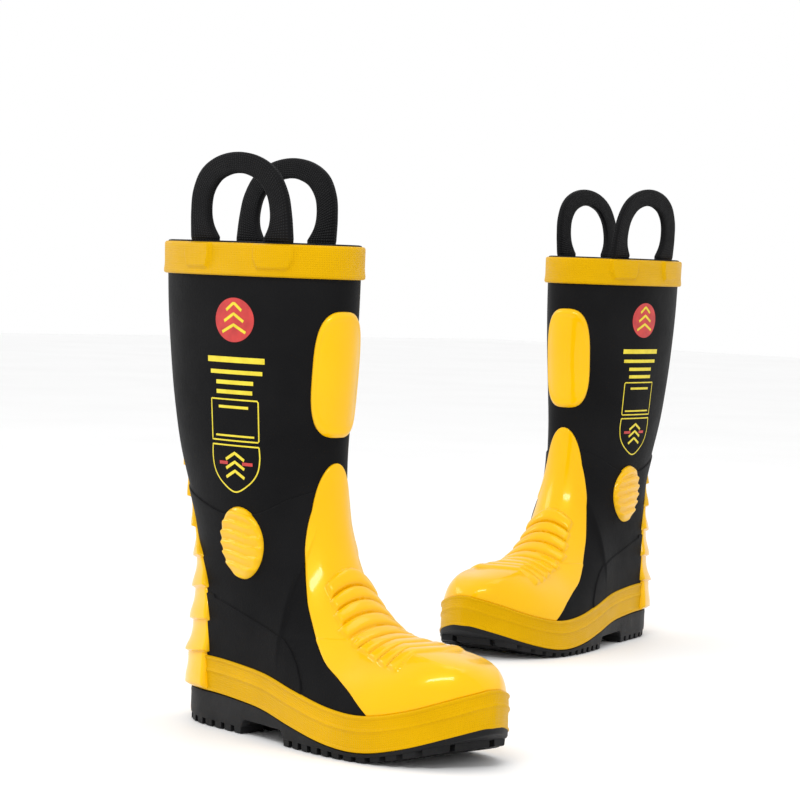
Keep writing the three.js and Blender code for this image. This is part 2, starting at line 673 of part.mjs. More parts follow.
/** Vertices and triangles of a solid as a three.js geometry. */
function geometryOf(body) {
  const { vertProperties, triVerts } = body.getMesh();
  const geometry = new THREE.BufferGeometry();
  geometry.setAttribute('position', new THREE.Float32BufferAttribute(Array.from(vertProperties), 3));
  geometry.setIndex(Array.from(triVerts));
  return geometry;
}

/** The one body of a cut piece, welded, without the loose slivers that a cut can leave. */
function tidy(body) {
  const bodies = fromGeometry(geometryOf(body), WELD).decompose();
  return bodies.reduce((best, other) => (other.volume() > best.volume() ? other : best));
}

function meshFrom(body, name, finish) {
  const geometry = geometryOf(body);
  geometry.computeVertexNormals();
  const mesh = new THREE.Mesh(geometry, new THREE.MeshStandardMaterial(finish));
  mesh.name = name;
  return mesh;
}

// Both boots in the right boot's frame, then moved so that the origin is the middle of the footprint.
const placed = [];
for (const [name, body, finish] of bootPieces()) {
  const left = body.mirror([0, 1, 0]).rotate([0, 0, LEFT_BOOT.turnDeg]);
  placed.push([`right_${name}`, body, finish]);
  placed.push([`left_${name}`, left.translate([LEFT_BOOT.x, LEFT_BOOT.y, 0]), finish]);
}
const bounds = new THREE.Box3();
for (const [, body] of placed) {
  const { min, max } = body.boundingBox();
  bounds.expandByPoint(new THREE.Vector3(...min)).expandByPoint(new THREE.Vector3(...max));
}
const middle = bounds.getCenter(new THREE.Vector3());
const pair = new THREE.Group();
for (const [name, body, finish] of placed) {
  pair.add(meshFrom(tidy(body.translate([-middle.x, -middle.y, -bounds.min.z])), name, finish));
}

export default pair;
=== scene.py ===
import json
import math

import bpy
import numpy as np
from mathutils import Matrix


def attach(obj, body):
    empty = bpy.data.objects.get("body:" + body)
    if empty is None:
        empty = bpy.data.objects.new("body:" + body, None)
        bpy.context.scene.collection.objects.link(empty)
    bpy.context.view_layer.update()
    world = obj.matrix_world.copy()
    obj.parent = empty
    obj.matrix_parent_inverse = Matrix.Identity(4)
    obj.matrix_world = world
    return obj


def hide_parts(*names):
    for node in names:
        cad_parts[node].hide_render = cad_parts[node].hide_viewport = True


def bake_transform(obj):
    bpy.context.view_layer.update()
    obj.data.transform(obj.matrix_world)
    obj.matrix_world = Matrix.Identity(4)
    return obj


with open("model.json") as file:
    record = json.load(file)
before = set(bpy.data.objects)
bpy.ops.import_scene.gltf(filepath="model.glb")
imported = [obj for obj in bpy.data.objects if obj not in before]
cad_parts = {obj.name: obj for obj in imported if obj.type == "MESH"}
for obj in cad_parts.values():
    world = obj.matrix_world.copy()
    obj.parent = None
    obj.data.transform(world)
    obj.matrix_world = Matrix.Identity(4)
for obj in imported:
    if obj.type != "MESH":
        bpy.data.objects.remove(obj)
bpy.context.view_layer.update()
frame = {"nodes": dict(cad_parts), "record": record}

# ---------------------------------------------------------------------------
# Boot shape in the boot's own frame: millimetres, x forward, y to the medial side, z up.
# A side is -1 for lateral and 1 for medial. The outlines are those of the solids, sampled finely.
# ---------------------------------------------------------------------------
LATERAL, MEDIAL = -1, 1
BOOT_TOP = 355.0                            # top edge of the collar
HEEL_X, TOE_X = 12.0, 300.0                 # ends of the sole's plan
PLAN_REACH = 130.0                          # how far from each end the plan follows the side outline
WALL = 22.0                                 # upright part of the foot's side, above the feather line
DOME_POWER, SHAFT_POWER = 2.1, 2.15         # roundness of the foot's top and of the shaft
SHAFT_BLEND = (55, 160)                     # heights between which the foot turns into the shaft
FOX_HEIGHT = 26.0                           # yellow band above the feather line
LAYER_START = FOX_HEIGHT - 0.6              # where the layers above the band begin, tucked under its edge
HANDLE_X = {LATERAL: 73.0, MEDIAL: 32.0}    # centre of each pull loop
HANDLE_Y = 39.2
HANDLE_TURN = math.radians(7)
HANDLE_LEAN = math.radians(5.5)
HANDLE_SPREAD = 36.0                        # from a loop's centre to each of its feet
PIVOT_Z = 358.7                             # height of the line that a loop bends about
LEFT_TURN = math.radians(285)
LEFT_AT = (-187.5, 682.9)

# Side view of the boot, (x, z), from the sole up.
FRONT = [(299, 30), (300.5, 43), (298, 56), (291, 67), (279, 75), (258, 78.5), (231, 77), (206, 79.5),
         (184, 92), (165, 111), (151, 136), (143, 165), (140, 200), (141, 235), (143, 275), (144, 315),
         (144, 355)]
BACK = [(13, 17), (11, 33), (9, 55), (8, 83), (7, 111), (2, 140), (-9, 170), (-21, 202), (-29, 238),
        (-34, 274), (-38, 312), (-40, 355)]
# Half widths over x: the foot's plan on each side. Then the feather line's height over x.
PLAN_LAT = [(12, 0), (14, 13), (24, 27), (44, 36), (75, 40), (115, 44), (160, 51), (200, 55), (232, 54),
            (262, 45), (284, 29), (296, 12), (300, 0)]
PLAN_MED = [(12, 0), (14, 13), (24, 27), (44, 35), (75, 36), (115, 34), (160, 36), (200, 43), (232, 46),
            (262, 42), (284, 29), (296, 13), (300, 0)]
FEATHER = [(0, 25), (60, 25.5), (100, 23.5), (130, 20.5), (165, 14), (205, 7.5), (235, 6.5), (262, 12),
           (285, 21), (302, 30)]
# Half width of the shaft over z, centre line over x, and height of each ring's back over its place.
SHAFT_HALF = [(15, 38), (55, 38), (95, 36), (135, 35), (170, 37), (215, 41), (265, 45), (305, 47), (355, 48)]
CENTRE = [(-60, 0), (150, 0), (200, 0.5), (250, 3), (302, 7)]
BACK_HEIGHT = [(0, 25), (0.15, 38), (0.3, 58), (0.45, 96), (0.6, 160), (0.8, 255), (1, 355)]
# Edges of the layers, (x, z) on the side: front layer, heel seam, and the ends of the instep ribs.
VAMP_EDGE = [(236, 33), (220, 45), (205, 53), (188, 62), (174, 74), (162, 87), (151, 102), (144, 118),
             (139, 131), (135.4, 144), (134.6, 158), (135.9, 171), (137.8, 185), (139.6, 193)]
HEEL_SEAM = [(54, 95), (75, 91), (105, 84), (124, 80), (143, 75), (153, 68), (162, 59), (169, 48),
             (173, 38)]
RIB_ENDS = [(160, 108.5), (168, 98.5), (176.5, 89.5), (187, 80.5), (199, 74.5), (210, 70.5), (222, 67.5),
            (233.5, 65), (244.5, 63.5)]
# Half width of the heel guard over z, top of the ankle layer from back to front, and the sole's underside.
SPINE_HALF = [(20, 60), (55, 60), (78, 57), (95, 52), (108, 46), (121, 38), (135, 27), (150, 19), (180, 12),
              (212, 7)]
SEAM_HEIGHT = [(0, 178), (0.3, 164), (0.5, 157), (0.72, 160), (0.9, 173), (1, 179)]
SOLE_BOTTOM = [(0, 0), (98, 0), (101, 6), (150, 6), (152, 0), (236, 0), (262, 5), (285, 12), (310, 23)]
# Half of a pull loop's outer and inner edge, from its foot to its top, (along, up) from the bend line.
HANDLE_OUTER = [(-49.5, 0), (-48.5, 18), (-45.5, 34), (-36.5, 49), (-20.5, 58.5), (0, 62)]
HANDLE_INNER = [(-22.5, 0), (-28, 9), (-29.5, 19), (-27, 31), (-19.5, 40.5), (-9.5, 45.2), (0, 46.5)]


def curve(points, per_span=60):
    """Catmull-Rom curve through the points, ends repeated, as a dense polyline."""
    p = np.array(points, float)
    p = np.vstack([p[:1], p, p[-1:]])
    t = np.linspace(0, 1, per_span, endpoint=False)[:, None]
    spans = []
    for a, b, c, d in zip(p[:-3], p[1:-2], p[2:-1], p[3:]):
        square, cube = 2 * a - 5 * b + 4 * c - d, 3 * b - a - 3 * c + d
        spans.append(0.5 * (2 * b + (c - a) * t + square * t**2 + cube * t**3))
    return np.vstack(spans + [p[-2:-1]])


def look(table, v, source=0, target=1):
    """Reads one column of a curve against another, which only rises or only falls."""
    c = table if table[-1, source] > table[0, source] else table[::-1]
    return np.interp(v, c[:, source], c[:, target])


def smooth(a, b, v):
    """0 up to a, 1 from b on, and an even S between."""
    t = np.clip((v - a) / (b - a), 0, 1)
    return t * t * (3 - 2 * t)


front, back = curve(FRONT), curve(BACK)
plan_of = {LATERAL: curve(PLAN_LAT), MEDIAL: curve(PLAN_MED)}
feather_line, shaft_half, centre_line = curve(FEATHER), curve(SHAFT_HALF), curve(CENTRE)
back_height, spine_half, seam_height = curve(BACK_HEIGHT), curve(SPINE_HALF), curve(SEAM_HEIGHT)
sole_line = np.array(SOLE_BOTTOM, float)
foot_top = front[front[:, 0].argmax():front[:, 0].argmin() + 1]


def feather(x):
    return look(feather_line, x)


def back_x(z):
    return look(back, z, 1, 0)


def front_x(z):
    return look(front, z, 1, 0)


def half_width(x, z, side):
    """Half width at (x, z): a domed foot that blends into a rounded shaft."""
    wall_top = feather(x) + WALL
    xb, xf = back_x(z), front_x(z)
    toe = np.maximum(xf, front_x(feather(TOE_X) + WALL))
    station = x - (xb - HEEL_X) * np.clip(1 - (x - xb) / PLAN_REACH, 0, 1)
    station = station + (TOE_X - toe) * np.clip((x - TOE_X + PLAN_REACH) / PLAN_REACH, 0, 1) ** 2
    plan = look(plan_of[side], np.clip(station, HEEL_X, TOE_X))
    top = np.where(x < foot_top[-1, 0], 1e4, look(foot_top, x))
    rise = np.clip((z - wall_top) / np.maximum(top - wall_top, 1e-6), 0, 1)
    foot = plan * np.sqrt(np.clip(1 - rise**DOME_POWER, 0, 1))
    across = np.clip((x - xb) / np.maximum(xf - xb, 1e-6), 0, 1)
    round_off = np.clip(1 - np.abs(2 * across - 1) ** SHAFT_POWER, 0, 1) ** (1 / SHAFT_POWER)
    shaft = look(shaft_half, z) * round_off
    blend = smooth(*SHAFT_BLEND, z)
    return (1 - blend) * foot + blend * shaft


def lengths(points):
    """Distance along a line of points, from its start to each of them."""
    return np.concatenate([[0], np.cumsum(np.linalg.norm(np.diff(points, axis=0), axis=1))])


ROWS, STEPS, RING_SAMPLES = 420, 260, 420
SOLE_HEIGHTS = (25, 30)                     # heights of the ring family's own sole line at the heel and toe
FOOT_SHARE = 0.28                           # rings up to here settle onto the feather line
front_reach = lengths(front)
FRONT_LENGTH = front_reach[-1]


def half_ring(s, side):
    """One side of ring s, from the front round to the back, in equal steps, with its length."""
    reach = s * FRONT_LENGTH
    xf = np.interp(reach, front_reach, front[:, 0])
    zf = np.interp(reach, front_reach, front[:, 1])
    zb = look(back_height, s)
    xb = back_x(zb)
    x = xb + (xf - xb) * (1 + np.cos(np.linspace(0, math.pi, RING_SAMPLES))) / 2
    z = zb + (zf - zb) * (x - xb) / (xf - xb)
    own_sole = SOLE_HEIGHTS[0] + (SOLE_HEIGHTS[1] - SOLE_HEIGHTS[0]) * x / TOE_X
    z = z + (feather(x) - own_sole) * (1 - smooth(0, FOOT_SHARE, s))
    p = np.stack([x, look(centre_line, x) + side * half_width(x, z, side), z], -1)
    reach = lengths(p)
    want = np.linspace(0, reach[-1], STEPS + 1)
    return np.stack([np.interp(want, reach, p[:, k]) for k in range(3)], -1), reach[-1]


rings, ring_length = {}, {}
for way in (LATERAL, MEDIAL):
    ring_points, ring_reach = zip(*(half_ring(s, way) for s in np.linspace(0, 1, ROWS + 1)))
    rings[way], ring_length[way] = np.array(ring_points), np.array(ring_reach)
# One table all the way round: column 0 is the back, STEPS the front, 2 * STEPS the back again.
table = np.concatenate([rings[LATERAL][:, ::-1], rings[MEDIAL][:, 1:]], axis=1)


def surface(f, s):
    """Point of the outer surface. f: -1 back, lateral, 0 front, medial, 1 back. s: 0 sole, 1 collar."""
    f, s = np.broadcast_arrays(np.asarray(f, float), np.asarray(s, float))
    f = (f + 1) % 2 - 1
    row = np.clip(s, 0, 1) * ROWS
    column = (f + 1) * STEPS
    i = np.minimum(row.astype(int), ROWS - 1)
    j = np.minimum(column.astype(int), 2 * STEPS - 1)
    u, v = (column - j)[..., None], (row - i)[..., None]
    low = table[i, j] * (1 - u) + table[i, j + 1] * u
    high = table[i + 1, j] * (1 - u) + table[i + 1, j + 1] * u
    return low * (1 - v) + high * v


def with_normal(f, s):
    """Point and normal of the outer surface, the normal taken over a small patch."""
    f, s = np.asarray(f), np.asarray(s)
    around = surface(f + 0.012, s) - surface(f - 0.012, s)
    up = surface(f, np.minimum(s + 0.008, 1)) - surface(f, np.maximum(s - 0.008, 0))
    normal = np.cross(around, up)
    return surface(f, s), normal / np.linalg.norm(normal, axis=-1, keepdims=True)


def on_side(x, z, side):
    """Point and normal over one side of the boot, from x and z."""
    def at(u, w):
        return np.stack([u, look(centre_line, u) + side * half_width(u, w, side), w], -1)
    along = at(x + 1.5, z) - at(x - 1.5, z)
    up = at(x, z + 1.5) - at(x, z - 1.5)
    normal = np.cross(up, along) if side > 0 else np.cross(along, up)
    return at(x, z), normal / np.linalg.norm(normal, axis=-1, keepdims=True)


def solve_up(f, test):
    """Ring position where a test that rises with height turns positive."""
    f = np.asarray(f, float)
    low, high = np.zeros(f.shape), np.ones(f.shape)
    for _ in range(20):
        mid = (low + high) / 2
        above = test(surface(f, mid)) > 0
        high = np.where(above, mid, high)
        low = np.where(above, low, mid)
    return (low + high) / 2


def s_at_z(f, z):
    """Ring position at height z."""
    return solve_up(f, lambda p: p[..., 2] - z)


def s_above_feather(f, height):
    """Ring position at a height above the feather line."""
    return solve_up(f, lambda p: p[..., 2] - feather(p[..., 0]) - height)


def half_length(side, s):
    """Length of one side of ring s, from the front to the back."""
    return np.interp(s, np.linspace(0, 1, ROWS + 1), ring_length[side])


def nearest(x, z, side):
    """(s, |f|) of the surface point over (x, z) on one side."""
    aim = on_side(np.array(float(x)), np.array(float(z)), side)[0]
    gap = np.linalg.norm(rings[side] - aim, axis=-1)
    row, step = np.unravel_index(gap.argmin(), gap.shape)
    s, f = row / ROWS, step / STEPS
    for reach in (1.0, 0.1):
        ds, df = np.meshgrid(np.linspace(-reach, reach, 21) / ROWS, np.linspace(-reach, reach, 21) / STEPS)
        near = np.linalg.norm(surface(side * (f + df), np.clip(s + ds, 0, 1)) - aim, axis=-1)
        best = near.argmin()
        s, f = float(np.clip(s + ds.flat[best], 0, 1)), float(f + df.flat[best])
    return s, f


CROWN_START, CROWN_TOP, CROWN_FULL = 0.56, 0.6355, 0.062    # round top of the front layer: s, s, |f|
EVEN_FROM, EVEN_TO, EVEN_SPAN = 0.36, 0.43, 12              # its edge is evened out above the ankle: s, s, rows


def vamp_edge(side):
    """Edge of the yellow front layer as (s, |f|) rows, closed by a round top."""
    rows = np.array([nearest(x, z, side) for x, z in curve(VAMP_EDGE, 20)])
    rows = rows[rows[:, 0] < CROWN_START]
    t = np.linspace(0, 1, 61)[1:, None]
    shoulder, peak = np.array([CROWN_TOP, CROWN_FULL]), np.array([CROWN_TOP, 0.0])
    line = np.vstack([rows, (1 - t)**2 * rows[-1] + 2 * t * (1 - t) * shoulder + t**2 * peak])
    share = line[:, 1]
    even = share.copy()
    for _ in range(3):
        window = 2 * EVEN_SPAN + 1
        even[EVEN_SPAN:-EVEN_SPAN] = np.convolve(even, np.ones(window) / window, "valid")
    return np.stack([line[:, 0], share + smooth(EVEN_FROM, EVEN_TO, line[:, 0]) * (even - share)], -1)


vamp_share = {way: vamp_edge(way) for way in (LATERAL, MEDIAL)}


# ---------------------------------------------------------------------------
# Mesh making
# ---------------------------------------------------------------------------
# The lateral loop's hinge on the right boot ties the boot's frame to the row's frame.
joints = {joint["name"]: joint for joint in frame["record"]["behaviour"]["joints"]}
hinge_x, hinge_y = (1000 * v for v in joints["right_handle_lateral_bend"]["pos_m"][:2])
SHIFT = np.array([HANDLE_X[LATERAL] - hinge_x, -HANDLE_Y - hinge_y, 0.0])


def to_row(points, boot):
    """Boot frame in millimetres to the row frame in metres."""
    p = np.asarray(points, float).reshape(-1, 3).copy()
    if boot == "left":
        c, s = math.cos(LEFT_TURN), math.sin(LEFT_TURN)
        y = -p[:, 1]
        p = np.stack([c * p[:, 0] - s * y + LEFT_AT[0], s * p[:, 0] + c * y + LEFT_AT[1], p[:, 2]], -1)
    return (p - SHIFT) / 1000


class Pile:
    """Vertices, faces and a flat map (in millimetres) gathered for one piece."""

    def __init__(self):
        self.points, self.faces, self.flat = [], [], []
        self.count = 0

    def add(self, points, faces, flat):
        points = np.asarray(points, float).reshape(-1, 3)
        flat = np.asarray(flat, float).reshape(-1, 2)
        self.points.append(points)
        self.flat.append(flat)
        self.faces.extend([tuple(int(i) + self.count for i in face) for face in faces])
        self.count += len(points)


def grid_faces(rows, columns, closed=False, start=0, flip=False):
    """Quads of a grid of points; closed joins the last column to the first."""
    faces = []
    last = columns if closed else columns - 1
    for r in range(rows - 1):
        for c in range(last):
            d = (c + 1) % columns
            quad = (r * columns + c, r * columns + d, (r + 1) * columns + d, (r + 1) * columns + c)
            quad = tuple(start + q for q in quad)
            faces.append(quad[::-1] if flip else quad)
    return faces


def band_faces(rows, columns):
    """Quads of a ring-shaped band whose last row also joins the first."""
    last = (rows - 1) * columns
    faces = grid_faces(rows, columns, True)
    for c in range(columns):
        d = (c + 1) % columns
        faces.append((last + c, last + d, d, c))
    return faces


def end_faces(rows, columns):
    """Strips from side to side that close the first and the last ring of a stack."""
    faces = []
    for base, flip in ((0, True), ((rows - 1) * columns, False)):
        for k in range(columns // 2):
            strip = list(dict.fromkeys([k, k + 1, (columns - k - 1) % columns, (columns - k) % columns]))
            if len(strip) >= 3:
                faces.append(tuple(base + v for v in (strip[::-1] if flip else strip)))
    return faces


def make(boot, name, pile, material, node, smooth_angle=50, bevel=None, body="boot"):
    """Turns a pile into a piece that rides on a body of the boot and stands for one of its CAD nodes."""
    mesh = bpy.data.meshes.new(f"{boot}_{name}")
    points = to_row(np.vstack(pile.points), boot)
    faces = pile.faces if boot == "right" else [f[::-1] for f in pile.faces]
    mesh.from_pydata(points.tolist(), [], faces)
    flat = np.vstack(pile.flat) / 1000
    layer = mesh.uv_layers.new(name="flat")
    corner = np.zeros(len(mesh.loops), int)
    mesh.loops.foreach_get("vertex_index", corner)
    layer.data.foreach_set("uv", flat[corner].ravel())
    mesh.materials.append(MATERIALS[material])
    mesh.polygons.foreach_set("use_smooth", np.ones(len(mesh.polygons), bool))
    mesh.set_sharp_from_angle(angle=math.radians(smooth_angle))
    mesh.validate()
    obj = bpy.data.objects.new(mesh.name, mesh)
    bpy.context.scene.collection.objects.link(obj)
    if bevel:
        cut = obj.modifiers.new("edge", "BEVEL")
        cut.width = bevel / 1000
        cut.segments = 2
        cut.limit_method = "ANGLE"
        cut.angle_limit = math.radians(35)
    if body:
        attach(obj, f"{boot}_{body}")
    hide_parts(f"{boot}_{node}")
    return obj


def steps(count, length, soft):
    """Values from 0 to 1, crowded within `soft` millimetres of both ends of a run of that length."""
    near = np.array([0, 0.06, 0.16, 0.32, 0.55, 0.8, 1.0]) * soft / length
    middle = np.linspace(near[-1], 1 - near[-1], count)[1:-1]
    return np.concatenate([near, middle, (1 - near)[::-1]])


def grid_lengths(p, axis):
    """Distance along one axis of a grid of points."""
    steps_along = np.linalg.norm(np.diff(p, axis=axis), axis=-1)
    start = np.zeros_like(np.take(p[..., 0], [0], axis=axis))
    return np.concatenate([start, np.cumsum(steps_along, axis)], axis)


def edge_distance(p):
    """Distance of each grid point from the sheet's nearest edge, and along and up the sheet."""
    along, up = grid_lengths(p, 1), grid_lengths(p, 0)
    d = np.minimum(up, up[-1:] - up)
    d = np.minimum(d, np.minimum(along, along[:, -1:] - along))
    return d, along, up


def shell_sheet(pile, p, n, lift, thickness, soft, sunk=0.5):
    """Adds a closed sheet with edges rounded over `soft`: `lift` above the surface, sunk a little under it."""
    d, along, up = edge_distance(p)
    t = np.clip(d / soft, 0, 1)
    rounding = np.sqrt(1 - (1 - t) ** 2)
    outer = p + n * (rounding * thickness + lift)[..., None]
    inner = p - n * sunk
    rows, columns = p.shape[:2]
    total, top = rows * columns, (rows - 1) * columns
    faces = grid_faces(rows, columns) + grid_faces(rows, columns, False, total, True)
    for c in range(columns - 1):
        e = c + 1
        faces.append((c, c + total, e + total, e))
        faces.append((top + e, top + e + total, top + c + total, top + c))
    for r in range(rows - 1):
        a, b = r * columns, (r + 1) * columns
        faces.append((b, b + total, a + total, a))
        a, b = a + columns - 1, b + columns - 1
        faces.append((a, a + total, b + total, b))
    flat = np.stack([along, up], -1)
    pile.add(np.stack([outer, inner]), faces, np.stack([flat, flat]))


# ---------------------------------------------------------------------------
# Materials
# ---------------------------------------------------------------------------
class Nodes:
    """Wires the nodes of one material."""

    def __init__(self, name):
        self.material = bpy.data.materials.new(name)
        self.material.use_nodes = True
        self.tree = self.material.node_tree
        self.shader = self.tree.nodes["Principled BSDF"]

    def add(self, kind, values=None, **settings):
        """New node with values for its sockets and settings of its own."""
        node = self.tree.nodes.new(kind)
        for key, value in settings.items():
            setattr(node, key, value)
        for key, value in (values or {}).items():
            node.inputs[key].default_value = value
        return node

    def link(self, a, out, b, into):
        self.tree.links.new(a.outputs[out], b.inputs[into])

    def noise(self, scale, detail=4, rough=0.5):
        node = self.add("ShaderNodeTexNoise", {"Scale": scale, "Detail": detail, "Roughness": rough})
        self.link(self.coords(), "Object", node, "Vector")
        return node

    def coords(self):
        if not hasattr(self, "texcoord"):
            self.texcoord = self.add("ShaderNodeTexCoord")
        return self.texcoord

    def ramp(self, source, out, stops, into, socket):
        """Colour ramp with (place, colour) stops between two sockets."""
        node = self.add("ShaderNodeValToRGB")
        for element, (place, colour) in zip(node.color_ramp.elements, stops):
            element.position = place
            element.color = (*colour, 1)
        self.link(source, out, node, "Fac")
        self.link(node, "Color", into, socket)

    def span(self, source, out, low, high, into, socket):
        """Stretches a 0 to 1 value to a range between two sockets."""
        node = self.add("ShaderNodeMapRange", {"To Min": low, "To Max": high})
        self.link(source, out, node, "Value")
        self.link(node, "Result", into, socket)

    def bump(self, height, out, distance, strength, after=None):
        node = self.add("ShaderNodeBump", {"Strength": strength, "Distance": distance})
        self.link(height, out, node, "Height")
        if after:
            self.link(after, "Normal", node, "Normal")
        return node

    def weave(self, pitch):
        """Checked weave from two crossed wave patterns on the piece's flat map, pitch in metres."""
        parts = []
        for axis in ("X", "Y"):
            values = {"Scale": 1 / pitch * 0.314, "Distortion": 0.6, "Detail": 1.0, "Detail Scale": 1.5}
            wave = self.add("ShaderNodeTexWave", values, bands_direction=axis)
            self.link(self.coords(), "UV", wave, "Vector")
            parts.append(wave)
        mix = self.add("ShaderNodeMath", operation="MULTIPLY")
        self.link(parts[0], "Fac", mix, 0)
        self.link(parts[1], "Fac", mix, 1)
        return mix


def finish(n, **shader):
    """Sets the shader's constant sockets, named with _ for a space, and gives the material."""
    for key, value in shader.items():
        n.shader.inputs[key.replace("_", " ")].default_value = value
    return n.material


def yellow_gloss():
    n = Nodes("yellow_gloss_rubber")
    broad = n.noise(9, 3)
    n.ramp(broad, "Fac", [(0.3, (0.79, 0.42, 0.0)), (0.7, (0.87, 0.48, 0.0))], n.shader, "Base Color")
    scuff = n.noise(60, 6, 0.65)
    n.span(scuff, "Fac", 0.22, 0.42, n.shader, "Roughness")
    first = n.bump(n.noise(420, 5, 0.6), "Fac", 0.0004, 0.22)
    second = n.bump(n.noise(28, 2), "Fac", 0.0012, 0.16, first)
    n.link(second, "Normal", n.shader, "Normal")
    return finish(n, Specular_IOR_Level=0.5, Specular_Tint=(1.0, 0.8, 0.1, 1.0), Coat_Weight=0.35,
                  Coat_Roughness=0.08)


def yellow_weave():
    n = Nodes("yellow_woven_rubber")
    weave = n.weave(0.0016)
    broad = n.noise(14, 3)
    n.ramp(broad, "Fac", [(0.3, (0.60, 0.325, 0.0)), (0.7, (0.70, 0.385, 0.0))], n.shader, "Base Color")
    n.span(n.noise(90, 5), "Fac", 0.38, 0.6, n.shader, "Roughness")
    first = n.bump(weave, "Value", 0.0006, 0.55)
    second = n.bump(n.noise(500, 4), "Fac", 0.0003, 0.2, first)
    n.link(second, "Normal", n.shader, "Normal")
    return finish(n, Specular_IOR_Level=0.35, Specular_Tint=(1.0, 0.75, 0.1, 1.0))


def black_rubber():
    n = Nodes("black_grained_rubber")
    tones = [(0.3, (0.004, 0.004, 0.0045)), (0.75, (0.009, 0.009, 0.0095))]
    n.ramp(n.noise(12, 4), "Fac", tones, n.shader, "Base Color")
    n.span(n.noise(40, 6, 0.7), "Fac", 0.42, 0.66, n.shader, "Roughness")
    grain = n.add("ShaderNodeTexVoronoi", {"Scale": 900.0})
    n.link(n.coords(), "Object", grain, "Vector")
    first = n.bump(grain, "Distance", 0.0004, 0.35)
    second = n.bump(n.noise(240, 6, 0.65), "Fac", 0.0006, 0.3, first)
    third = n.bump(n.noise(16, 2), "Fac", 0.0014, 0.15, second)
    n.link(third, "Normal", n.shader, "Normal")
    return finish(n, Specular_IOR_Level=0.05)


def sole_rubber():
    n = Nodes("sole_hard_rubber")
    tones = [(0.3, (0.006, 0.006, 0.0065)), (0.75, (0.013, 0.013, 0.014))]
    n.ramp(n.noise(20, 4), "Fac", tones, n.shader, "Base Color")
    n.span(n.noise(70, 6, 0.7), "Fac", 0.4, 0.7, n.shader, "Roughness")
    first = n.bump(n.noise(380, 6, 0.7), "Fac", 0.0006, 0.35)
    n.link(first, "Normal", n.shader, "Normal")
    return finish(n, Specular_IOR_Level=0.16)


def webbing():
    n = Nodes("black_webbed_rubber")
    weave = n.weave(0.0019)
    tones = [(0.1, (0.003, 0.003, 0.0035)), (0.9, (0.012, 0.012, 0.013))]
    n.ramp(weave, "Value", tones, n.shader, "Base Color")
    n.span(n.noise(90, 5), "Fac", 0.45, 0.7, n.shader, "Roughness")
    first = n.bump(weave, "Value", 0.0009, 0.7)
    second = n.bump(n.noise(700, 4), "Fac", 0.0004, 0.3, first)
    n.link(second, "Normal", n.shader, "Normal")
    return finish(n, Specular_IOR_Level=0.1)


def cloth(name, dark, light, pitch):
    n = Nodes(name)
    weave = n.weave(pitch)
    n.ramp(weave, "Value", [(0.05, dark), (0.85, light)], n.shader, "Base Color")
    n.span(n.noise(50, 5), "Fac", 0.82, 0.98, n.shader, "Roughness")
    first = n.bump(weave, "Value", 0.0008, 0.6)
    second = n.bump(n.noise(900, 5), "Fac", 0.0004, 0.5, first)
    n.link(second, "Normal", n.shader, "Normal")
    return finish(n, Sheen_Weight=0.35, Sheen_Roughness=0.5)


def plain(name, dark, light, metallic, rough, scale=60):
    """Material of a hidden inner layer: grained colour, uneven gloss and a fine bump."""
    n = Nodes(name)
    n.ramp(n.noise(scale, 5), "Fac", [(0.3, dark), (0.7, light)], n.shader, "Base Color")
    n.span(n.noise(scale * 2, 5), "Fac", rough - 0.08, rough + 0.12, n.shader, "Roughness")
    first = n.bump(n.noise(scale * 8, 5), "Fac", 0.0003, 0.3)
    n.link(first, "Normal", n.shader, "Normal")
    return finish(n, Metallic=metallic)


def print_ink(name, dark, light):
    n = Nodes(name)
    n.ramp(n.noise(120, 5), "Fac", [(0.3, dark), (0.7, light)], n.shader, "Base Color")
    n.span(n.noise(300, 5), "Fac", 0.35, 0.6, n.shader, "Roughness")
    n.link(n.bump(n.noise(500, 5), "Fac", 0.0003, 0.25), "Normal", n.shader, "Normal")
    return finish(n)


MATERIALS = {
    "gloss": yellow_gloss(),
    "weave": yellow_weave(),
    "black": black_rubber(),
    "sole": sole_rubber(),
    "webbing": webbing(),
    "lining": cloth("knitted_lining", (0.10, 0.10, 0.11), (0.30, 0.30, 0.32), 0.0018),
    "insole": cloth("felted_insole", (0.03, 0.035, 0.045), (0.09, 0.10, 0.12), 0.0022),
    "steel": plain("pressed_steel", (0.42, 0.43, 0.45), (0.6, 0.61, 0.63), 1.0, 0.35),
    "foam": plain("filler_foam", (0.30, 0.28, 0.24), (0.42, 0.40, 0.35), 0.0, 0.85, 150),
    "board": plain("fibre_board", (0.28, 0.19, 0.10), (0.42, 0.30, 0.18), 0.0, 0.85, 110),
    "ink_yellow": print_ink("yellow_ink", (0.66, 0.52, 0.01), (0.80, 0.66, 0.03)),
    "ink_red": print_ink("red_ink", (0.42, 0.02, 0.02), (0.58, 0.035, 0.03)),
}


# ---------------------------------------------------------------------------
# Pieces of one boot
# ---------------------------------------------------------------------------
SOLE_COLUMNS = 340


def full_ring(columns):
    """Even steps all the way round the boot."""
    return np.linspace(-1, 1, columns, endpoint=False)


